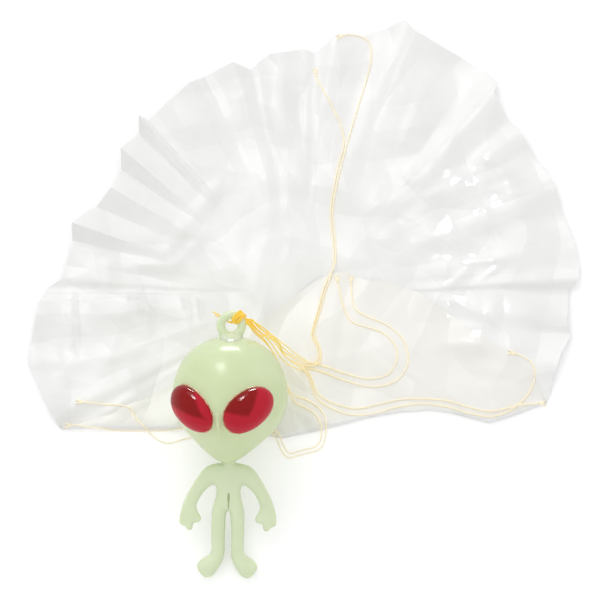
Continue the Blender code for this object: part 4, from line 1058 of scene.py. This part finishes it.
def make_film(finish):
    """Canopy's film, pleated along rays from its middle, crumpled, and folded over at the hem."""
    form = bmesh.new()
    double = form.verts.layers.float.new("double")
    hem_end = HEM_Y - math.pi * FOLD_RADIUS
    middle = form.verts.new((0, 0, 0))
    rays = []
    lap = []
    for end, start in flat_rim():
        if end.y < hem_end:
            start = hem_end / end.y
        ray = []
        for share in ray_shares(end.y):
            x, y = end.xy * share
            past = max(0, (share - start) / (1 - start))
            place = folded(x, y, end.z * past**PLEAT_CURVE)
            if y > HEM_Y:
                extra = FILM_LOFT + FILM_CRUMPLE * crumple(place.x, place.y, FILM_CELL)
                extra += crease_rise(FILM_CREASES, place.x, place.y)
                place.z = max(0, place.z + extra * min(1, (y - HEM_Y) / HEM_CALM))
                place.z = min(place.z, headroom(x, y) - 2 * LAP_CLEAR)
            point = form.verts.new(place)
            ray.append(point)
            if y < hem_end:
                point[double] = 1
                lap.append((point, past, min(1, (hem_end - y) / HEM_CALM)))
        rays.append(ray)
    for ray, following in zip(rays, rays[1:] + rays[:1]):
        form.faces.new((middle, ray[0], following[0]))
        for near in range(len(ray) - 1):
            form.faces.new((ray[near], ray[near + 1], following[near + 1], following[near]))
    lay_lap(form, lap, double)
    film = piece_from(form, "canopy_sheet")
    wall = film.modifiers.new("thickness", "SOLIDIFY")
    wall.thickness = FILM
    wall.offset = 1
    finish_step(film, wall)
    smooth_shaded(film, FILM_SMOOTH)
    dress(film, finish, "canopy")
    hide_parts("canopy_film")
    return surface_of(film)


def top_under(surface, spot, reach, rise):
    """Height at which a rounded piece of this half width and half height rests at a spot."""
    offsets = [(0, 0)]
    for share in CONTACT_SHARES:
        for side in range(CONTACT_SIDES):
            turn = math.tau * side / CONTACT_SIDES
            offsets.append((share * math.cos(turn), share * math.sin(turn)))
    top = rise
    for x, y in offsets:
        above = (spot.x + reach * x, spot.y + reach * y, CANOPY_RADIUS)
        place = surface.ray_cast(above, (0, 0, -1))[0]
        if place is not None:
            top = max(top, place.z + rise * math.sqrt(max(0, 1 - x**2 - y**2)))
    return top


def lay_line(points, surface, laid):
    """Raise a line's points until it clears the film and the lines laid before it."""
    tree = KDTree(len(laid))
    for index, spot in enumerate(laid):
        tree.insert((spot.x, spot.y, 0), index)
    tree.balance()
    room = THREAD_RADIUS + LINE_GAP
    apart = THREAD_RADIUS + room
    for near, far in LAY_ROUNDS * list(zip(points, points[1:])):
        for share in (0, 1, *(k / LAY_CHECKS for k in range(1, LAY_CHECKS))):
            spot = near.lerp(far, share)
            short = max(0, top_under(surface, spot, room, room) - spot.z)
            for _, index, _ in tree.find_range((spot.x, spot.y, 0), apart):
                if abs(laid[index].z - spot.z) < apart:
                    short = max(short, laid[index].z + apart - spot.z)
            whole = (1 - share) ** 2 + share**2
            near.z += short * (1 - share) / whole
            far.z += short * share / whole
    return points


def spaced(points, step):
    """Points at an even spacing along a line."""
    walked = [0]
    for near, far in zip(points, points[1:]):
        walked.append(walked[-1] + (far - near).length)
    count = max(2, round(walked[-1] / step))
    made = []
    k = 0
    for index in range(count + 1):
        place = walked[-1] * index / count
        while k < len(walked) - 2 and walked[k + 1] < place:
            k += 1
        span = walked[k + 1] - walked[k]
        made.append(points[k].lerp(points[k + 1], (place - walked[k]) / span))
    return made, walked[-1]


def sides_of(points):
    """Two directions across a line at each of its points, carried along without a twist."""
    across = None
    made = []
    for index, point in enumerate(points):
        before, after = points[max(0, index - 1)], points[min(len(points) - 1, index + 1)]
        way = (after - before).normalized()
        across = way.orthogonal() if across is None else across - way * across.dot(way)
        across.normalize()
        made.append((across.copy(), way.cross(across)))
    return made


def add_tube(form, points, radius, sides):
    """Closed round tube along points; it starts and ends with flat caps."""
    rings = []
    for point, (across, up) in zip(points, sides_of(points)):
        ring = []
        for side in range(sides):
            turn = math.tau * side / sides
            out = math.cos(turn) * across + math.sin(turn) * up
            ring.append(form.verts.new(point + radius * out))
        rings.append(ring)
    for near, far in zip(rings, rings[1:]):
        for side in range(sides):
            after = (side + 1) % sides
            form.faces.new((near[side], near[after], far[after], far[side]))
    form.faces.new(rings[0][::-1])
    form.faces.new(rings[-1])


def add_thread(form, points):
    """Two plies twisted round the line through these points."""
    points, length = spaced(points, PLY_STEP)
    frames = sides_of(points)
    for ply in (0, 1):
        strand = []
        for index, (point, (across, up)) in enumerate(zip(points, frames)):
            turn = math.tau * (index * PLY_STEP / PLY_PITCH + ply / 2)
            out = math.cos(turn) * across + math.sin(turn) * up
            strand.append(point + (THREAD_RADIUS - PLY_RADIUS) * out)
        add_tube(form, strand, PLY_RADIUS, PLY_SIDES)
    return length


def thread_piece(name, form, far):
    """Piece of thread; far gives how much each place of it lies alone, 0 to 1, for its painted
    paleness.
    """
    piece = piece_from(form, name)
    shade = piece.data.attributes.new("far", "FLOAT", "POINT")
    shade.data.foreach_set("value", [far(vertex.co) for vertex in piece.data.vertices])
    piece.data.shade_smooth()
    return piece


def knot_place():
    """Middle of the ring's bar where the threads are tied, in the figure's own frame."""
    return Vector((
        RING_RADIUS * math.sin(KNOT_BEARING), RING_HEIGHT + RING_RADIUS * math.cos(KNOT_BEARING), 0
    ))


def knot_lump():
    """Middle of the lump that the knot is drawn into, where all lines leave it."""
    way = Vector((math.sin(LUMP_BEARING), math.cos(LUMP_BEARING), 0))
    return BODY_FRAME @ (knot_place() + LUMP_REACH * way)


def overhand(place, size, turn):
    """Points of an overhand knot drawn tight at a place."""
    points = []
    for k in range(RIM_KNOT_STEPS + 1):
        angle = math.tau * k / RIM_KNOT_STEPS
        point = Vector((
            (math.sin(angle) + 2 * math.sin(2 * angle)) / 3,
            (math.cos(angle) - 2 * math.cos(2 * angle)) / 3,
            -RIM_KNOT_DEPTH_SHARE * math.sin(3 * angle),
        ))
        point.rotate(Matrix.Rotation(turn, 3, "Z"))
        points.append(place + size * point)
    return points


def far_from(lump):
    """Function that gives how far a place is from the ring's knot, 0 to 1."""
    def share(place):
        return min(1, max(0, ((place - lump).length - BUNCH_REACH) / BUNCH_FADE))
    return share


def line_start(number):
    """Where a line leaves the ring's knot."""
    lump = knot_lump()
    way = Vector(LINE_ROUTES[0][0]) - lump
    way.z = 0
    way.normalize()
    across, up = LINE_START_SHARES[number - 1]
    aside = across * Vector((-way.y, way.x, 0)) + up * Vector((0, 0, 1))
    return lump + KNOT_LUMP_RADIUS * (way + aside)


def make_lines(surface, finish):
    """Lines from the ring's knot, laid one over another across the film to knots at the rim."""
    lump = knot_lump()
    laid = []
    for number in LAYING_ORDER:
        start = line_start(number)
        route = [start] + [Vector(place) for place in LINE_ROUTES[number - 1]]
        points = lay_line(curve_through(route, ROUTE_STEPS), surface, laid)
        for near, far in zip(points, points[1:]):
            laid += [near.lerp(far, k / LAY_CHECKS) for k in range(LAY_CHECKS)]
        form = bmesh.new()
        length = add_thread(form, points)
        line = thread_piece(f"thread_{number}", form, far_from(lump))
        dress(line, finish, None)
        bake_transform(line)
        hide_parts(f"line_{number}")
        knot = make_rim_knot(number, points, surface, finish)


def make_rim_knot(number, points, surface, finish):
    """Overhand knot at the film's rim with two short tails."""
    heading = points[-1] - points[-2]
    heading.z = 0
    heading.normalize()
    middle = points[-1] + heading * RIM_KNOT_SIZE
    middle.z = top_under(surface, middle, RIM_KNOT_SIZE, 0.5 * RIM_KNOT_SIZE)
    form = bmesh.new()
    turn = math.atan2(heading.y, heading.x)
    loop = overhand(middle, RIM_KNOT_SIZE, turn)
    add_tube(form, loop, THREAD_RADIUS * RIM_KNOT_THREAD_SHARE, RIM_KNOT_SIDES)
    for side, shares in RIM_TAIL_SHARES:
        aside = Vector((-heading.y, heading.x, 0)) * side
        tail = [middle + RIM_KNOT_SIZE * (on * heading + out * aside) for on, out in shares]
        for place in tail:
            place.z = top_under(surface, place, THREAD_RADIUS, THREAD_RADIUS)
        add_thread(form, curve_through(tail, ROUTE_STEPS))
    # Rim knots take the palest painted colour.
    knot = thread_piece(f"rim_tie_{number}", form, lambda place: 1)
    dress(knot, finish, "canopy")
    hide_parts(f"rim_knot_{number}")
    return knot


def make_ring_knot(finish):
    """Threads wound round the ring's bar, drawn into a lump, with loose tails."""
    centre = knot_place()
    along = Vector((math.cos(KNOT_BEARING), -math.sin(KNOT_BEARING), 0))
    out = Vector((math.sin(KNOT_BEARING), math.cos(KNOT_BEARING), 0))
    front = Vector((0, 0, 1))
    form = bmesh.new()
    for layer, (turns, lean, height, width) in enumerate(BAND_LAYERS):
        reach = RING_BAR_RADIUS + height * THREAD_RADIUS
        points = []
        for k in range(turns * BAND_STEPS + 1):
            angle = math.tau * k / BAND_STEPS
            place = KNOT_WIDTH * (k / BAND_STEPS / turns - 0.5) * width
            place += lean * reach * math.sin(angle)
            place += BAND_DRIFT * noise.noise(Vector((angle / 2, layer, 5)))
            swell = 1 + BAND_SWELL_SHARE * noise.noise(Vector((angle / 3, layer, 0)))
            away = math.cos(angle) * out + math.sin(angle) * front
            points.append(centre + along * place + reach * swell * away)
        add_thread(form, points)
    to_figure = BODY_FRAME.inverted()
    lump = to_figure @ knot_lump()
    waist = centre.lerp(lump, WAIST_SHARE)
    exits = [to_figure @ line_start(number) for number in LAYING_ORDER]
    middle = sum(exits, Vector()) / len(exits)
    for leaving in exits:
        aside = leaving - middle
        strand = [
            place + share * aside for place, share in zip((centre, waist, lump), BUNDLE_SHARES)
        ]
        onward = (leaving - strand[-1]).normalized() * STRAND_RUN
        strand += [leaving, leaving + onward]
        add_thread(form, curve_through(strand, ROUTE_STEPS))
    for route in RING_TAILS:
        add_thread(form, curve_through([centre + Vector(place) for place in route], ROUTE_STEPS))
    # The ring's knot takes the deepest painted colour.
    knot = thread_piece("ring_tie", form, lambda place: 0)
    lay_in(knot, BODY_FRAME)
    dress(knot, finish, "head")
    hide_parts("ring_knot")


def glow_plastic(name, deep, pale):
    """Moulded polypropylene with glow pigment: pale, milky and half glossy, a little light sinks in."""
    finish = new_finish(name)
    place = add_node(finish, "TexCoord", out="Object")
    cloud = add_node(finish, "TexNoise", {"Vector": place, "Scale": 1 / PLASTIC_CLOUD, "Detail": 2.0})
    tint = add_node(finish, "ValToRGB", {"Fac": cloud}, stops=((0.2, deep), (0.8, pale)))
    # Fine orange peel of the mould, less than a millimetre across.
    peel = add_node(finish, "TexNoise", {"Vector": place, "Scale": 1 / MOULD_PEEL, "Detail": 2.0})
    dents = add_node(finish, "Bump", {"Height": peel, "Strength": 0.35, "Distance": 0.00003})
    gloss = add_node(finish, "MapRange", {"Value": cloud, "To Min": 0.19, "To Max": 0.25})
    shader = add_node(finish, "BsdfPrincipled", {
        "Base Color": tint, "Roughness": gloss, "Normal": dents, "IOR": 1.49,
        "Specular IOR Level": 0.1, "Subsurface Weight": 0.35,
        "Subsurface Radius": (1.0, 1.0, 0.6), "Subsurface Scale": 0.0012,
    })
    return close_finish(finish, shader)


def red_cabochon():
    """Cast acrylic, dyed red through: mirror gloss, painted shade in its upper part, painted glow
    below.
    """
    finish = new_finish("cast_red_acrylic")
    painted_shade = add_node(finish, "Attribute", out="Fac", attribute_name="painted_shade")
    place = add_node(finish, "TexCoord", out="Object")
    cloud = add_node(finish, "TexNoise", {"Vector": place, "Scale": 1 / EYE_CLOUD, "Detail": 3.0})
    drift = add_node(finish, "MapRange", {"Value": cloud, "To Min": -0.04, "To Max": 0.04})
    level = add_node(finish, "Math", {0: painted_shade, 1: drift}, operation="ADD")
    # Painted light: the red glows below, and the upper part is a painted shade.
    stops = ((0.0, EYE_LOW), (0.46, EYE_LOW), (0.54, EYE_PAINTED_SHADE))
    tint = add_node(finish, "ValToRGB", {"Fac": level}, stops=stops)
    shader = add_node(finish, "BsdfPrincipled", {
        "Base Color": tint, "Roughness": 0.04, "IOR": 1.49, "Specular IOR Level": 0.2,
    })
    return close_finish(finish, shader)


def clear_glue():
    """Dried clear cement, stained amber by the dye at the eye's edge: wet gloss, tiny lumps."""
    finish = new_finish("dried_clear_cement")
    place = add_node(finish, "TexCoord", out="Object")
    lumps = add_node(finish, "TexNoise", {"Vector": place, "Scale": 1 / GLUE_LUMP, "Detail": 3.0})
    tint = add_node(finish, "ValToRGB", {"Fac": lumps}, stops=((0.35, GLUE_DARK), (0.65, GLUE_PALE)))
    dents = add_node(finish, "Bump", {"Height": lumps, "Strength": 0.8, "Distance": 0.0001})
    shader = add_node(finish, "BsdfPrincipled", {
        "Base Color": tint, "Roughness": 0.12, "IOR": 1.5, "Normal": dents,
    })
    return close_finish(finish, shader)


def sewing_thread():
    """Spun polyester thread, dyed yellow orange: dull, fuzzy, painted paler alone, with painted glow.
    """
    finish = new_finish("spun_polyester_thread")
    far = add_node(finish, "Attribute", out="Fac", attribute_name="far")
    stops = ((0.0, THREAD_NEAR), (0.35, THREAD_MIDDLE), (1.0, THREAD_FAR))
    tint = add_node(finish, "ValToRGB", {"Fac": far}, stops=stops)
    place = add_node(finish, "TexCoord", out="Object")
    tufts = add_node(finish, "TexNoise", {"Vector": place, "Scale": 1 / FIBRE_TUFT, "Detail": 2.0})
    uneven = add_node(finish, "MapRange", {"Value": tufts, "To Min": 0.9, "To Max": 1.1})
    shade = add_node(finish, "VectorMath", {0: tint, "Scale": uneven}, operation="SCALE")
    # The emission is a painted glow.
    shader = add_node(finish, "BsdfPrincipled", {
        "Base Color": shade, "Roughness": 0.75, "Sheen Weight": 0.5,
        "Sheen Tint": linear(THREAD_MIDDLE), "Subsurface Weight": 0.5,
        "Subsurface Radius": (1.0, 0.9, 0.4), "Subsurface Scale": 0.0004,
        "Specular IOR Level": 0.2, "Emission Color": shade, "Emission Strength": THREAD_PAINTED_GLOW,
    })
    return close_finish(finish, shader)


def add_folds(finish, place, direction, width, height):
    """Height of bent folds of a width, flat between their sharp creases."""
    waves = {
        "Vector": place, "Scale": WAVE_PERIOD / 2 / width, "Distortion": 9.0, "Detail": 2.0,
        "Detail Scale": 1.2,
    }
    folds = add_node(
        finish, "TexWave", waves, out="Fac", wave_type="BANDS", bands_direction=direction,
        wave_profile="TRI",
    )
    return add_node(finish, "Math", {0: folds, 1: height}, operation="MULTIPLY")


def add_facets(finish, place, size, tilt):
    """Height of flat facets, each leaning its own way, with sharp creases between them."""
    cells = add_node(finish, "TexVoronoi", {"Vector": place, "Scale": 1 / size}, feature="F1")
    middle, colour = (cells.node.outputs[name] for name in ("Position", "Color"))
    offset = add_node(finish, "VectorMath", {0: place, 1: middle}, operation="SUBTRACT")
    lean = add_node(finish, "VectorMath", {0: colour, 1: (0.5, 0.5, 0.5)}, operation="SUBTRACT")
    rise = add_node(finish, "VectorMath", {0: offset, 1: lean}, out="Value", operation="DOT_PRODUCT")
    return add_node(finish, "Math", {0: rise, 1: tilt}, operation="MULTIPLY")


def add_ray_folds(finish, place):
    """Height of folds across the rays, as the pleats leave them, calm round the canopy's middle."""
    apart = add_node(finish, "SeparateXYZ", {"Vector": place}).node.outputs
    turn = add_node(finish, "Math", {0: apart["Y"], 1: apart["X"]}, operation="ARCTAN2")
    around = add_node(finish, "Math", {0: turn, 1: RAY_FOLD_REACH}, operation="MULTIPLY")
    reach = add_node(finish, "VectorMath", {0: place}, out="Value", operation="LENGTH")
    outward = add_node(finish, "Math", {0: reach, 1: RAY_FOLD_STRETCH_SHARE}, operation="MULTIPLY")
    polar = add_node(finish, "CombineXYZ", {"X": around, "Y": outward})
    height = add_node(finish, "MapRange", {
        "Value": reach, "From Min": RAY_FOLD_START, "From Max": RAY_FOLD_FULL,
        "To Max": RAY_FOLD_RISE,
    })
    return add_folds(finish, polar, "X", RAY_FOLD_WIDTH, height)


def blown_film():
    """Blown polythene film, thinner than paper: white, half dull, crinkled, with sharp glints."""
    finish = new_finish("blown_polythene_film")
    place = add_node(finish, "TexCoord", out="Object")
    cloud = add_node(finish, "TexNoise", {"Vector": place, "Scale": 1 / FILM_CLOUD, "Detail": 3.0})
    tint = add_node(finish, "ValToRGB", {"Fac": cloud}, stops=((0.3, FILM_SHADE), (0.7, FILM_LIGHT)))
    # Two layers show a little warmer than one.
    double = add_node(finish, "Attribute", out="Fac", attribute_name="double")
    stops = ((0.0, FILM_SINGLE), (1.0, FILM_DOUBLE))
    warmth = add_node(finish, "ValToRGB", {"Fac": double}, stops=stops)
    tint = add_node(finish, "VectorMath", {0: tint, 1: warmth}, operation="MULTIPLY")
    gloss = add_node(finish, "MapRange", {"Value": cloud, "To Min": 0.5, "To Max": 0.4})
    rise = add_ray_folds(finish, place)
    for direction, width, height in HANDLING_FOLDS:
        folds = add_folds(finish, place, direction, width, height)
        rise = add_node(finish, "Math", {0: rise, 1: folds}, operation="ADD")
    dents = add_node(finish, "Bump", {"Height": rise, "Strength": 1.0, "Distance": 1.0})
    # The film is rubbed smooth in one patch, where its facets glint.
    sharp = add_facets(finish, place, GLINT_FACET, GLINT_TILT)
    glints = add_node(finish, "Bump", {"Height": sharp, "Strength": 1.0, "Distance": 1.0})
    aside = add_node(finish, "VectorMath", {0: place, 1: GLINT_PLACE}, operation="SUBTRACT")
    shrink = (1 / GLINT_SIZE[0], 1 / GLINT_SIZE[1], 0)
    scaled = add_node(finish, "VectorMath", {0: aside, 1: shrink}, operation="MULTIPLY")
    off = add_node(finish, "VectorMath", {0: scaled}, out="Value", operation="LENGTH")
    rubbed = add_node(finish, "MapRange", {
        "Value": off, "From Min": 0.7, "From Max": 1.1, "To Min": 0.4, "To Max": 0.0,
    })
    shader = add_node(finish, "BsdfPrincipled", {
        "Base Color": tint, "Roughness": gloss, "IOR": 1.5, "Normal": dents,
        "Coat Weight": rubbed, "Coat Roughness": 0.05, "Coat Normal": glints,
        "Specular IOR Level": 0.2,
    })
    return close_finish(finish, shader)


def white_card():
    """Matt white card under the toy; it takes the shadows and shows as plain white."""
    finish = new_finish("matt_white_card")
    card = add_node(finish, "BsdfDiffuse", {"Color": linear(CARD), "Roughness": 1.0})
    rays = add_node(finish, "LightPath").node.outputs
    seen = rays["Is Camera Ray"]
    for kind in ("Is Glossy Ray", "Is Transmission Ray"):
        seen = add_node(finish, "Math", {0: seen, 1: rays[kind]}, operation="ADD")
    strength = add_node(finish, "Math", {0: seen, 1: CARD_LIFT}, operation="MULTIPLY")
    lift = add_node(finish, "Emission", {"Color": WHITE, "Strength": strength})
    both = add_node(finish, "AddShader", {0: card, 1: lift})
    return close_finish(finish, both)


def make_floor():
    bpy.ops.mesh.primitive_plane_add(size=FLOOR_SIZE, location=(0, 0, -FLOOR_DROP))
    floor = named("floor")
    floor.data.materials.append(white_card())


def make_camera():
    lens = bpy.data.cameras.new("photo_camera")
    lens.lens = lens.sensor_width * CAMERA_DISTANCE / (PHOTO_PIXELS * METRES_PER_PIXEL)
    camera = bpy.data.objects.new("photo_camera", lens)
    bpy.context.scene.collection.objects.link(camera)
    back = Vector((0, -math.cos(CAMERA_ELEVATION), math.sin(CAMERA_ELEVATION)))
    camera.location = Vector(CAMERA_AIM) + CAMERA_DISTANCE * back
    camera.rotation_euler = (math.pi / 2 - CAMERA_ELEVATION, 0, 0)
    bpy.context.scene.camera = camera


def make_lamp(name, azimuth, elevation, distance, size, power, gloss_only):
    """Soft box at a compass direction from +Y towards +X, facing the toy."""
    light = bpy.data.lights.new(name, "AREA")
    light.shape = "RECTANGLE"
    light.size, light.size_y = size
    light.energy = power
    lamp = bpy.data.objects.new(name, light)
    bpy.context.scene.collection.objects.link(lamp)
    turn, rise = math.radians(azimuth), math.radians(elevation)
    way = Vector((math.sin(turn) * math.cos(rise), math.cos(turn) * math.cos(rise), math.sin(rise)))
    lamp.location = distance * way
    lamp.rotation_euler = way.to_track_quat("Z", "Y").to_euler()
    lamp.visible_diffuse = not gloss_only


def light_room():
    """Plain studio: an even white surround and soft boxes."""
    world = bpy.data.worlds.new("studio")
    bpy.context.scene.world = world
    world.use_nodes = True
    surround = world.node_tree.nodes["Background"]
    surround.inputs["Color"].default_value = WHITE
    surround.inputs["Strength"].default_value = SURROUND
    for lamp in LAMPS:
        make_lamp(*lamp)


def main():
    make_camera()
    plastic = glow_plastic("milky_glow_plastic", PLASTIC_DEEP, PLASTIC_PALE)
    # Lighter copy, with painted light, for the thin ring and body.
    painted_lit_plastic = glow_plastic("painted_lit_glow_plastic", PAINTED_LIT_DEEP, PAINTED_LIT_PALE)
    thread = sewing_thread()
    surface = make_film(blown_film())
    make_lines(surface, thread)
    make_ring_knot(thread)
    skull = make_head(plastic, red_cabochon(), clear_glue())
    make_ring(skull, painted_lit_plastic)
    bpy.data.objects.remove(skull)
    make_body(painted_lit_plastic)
    make_floor()
    light_room()
    bpy.context.scene.view_settings.view_transform = "Standard"


main()
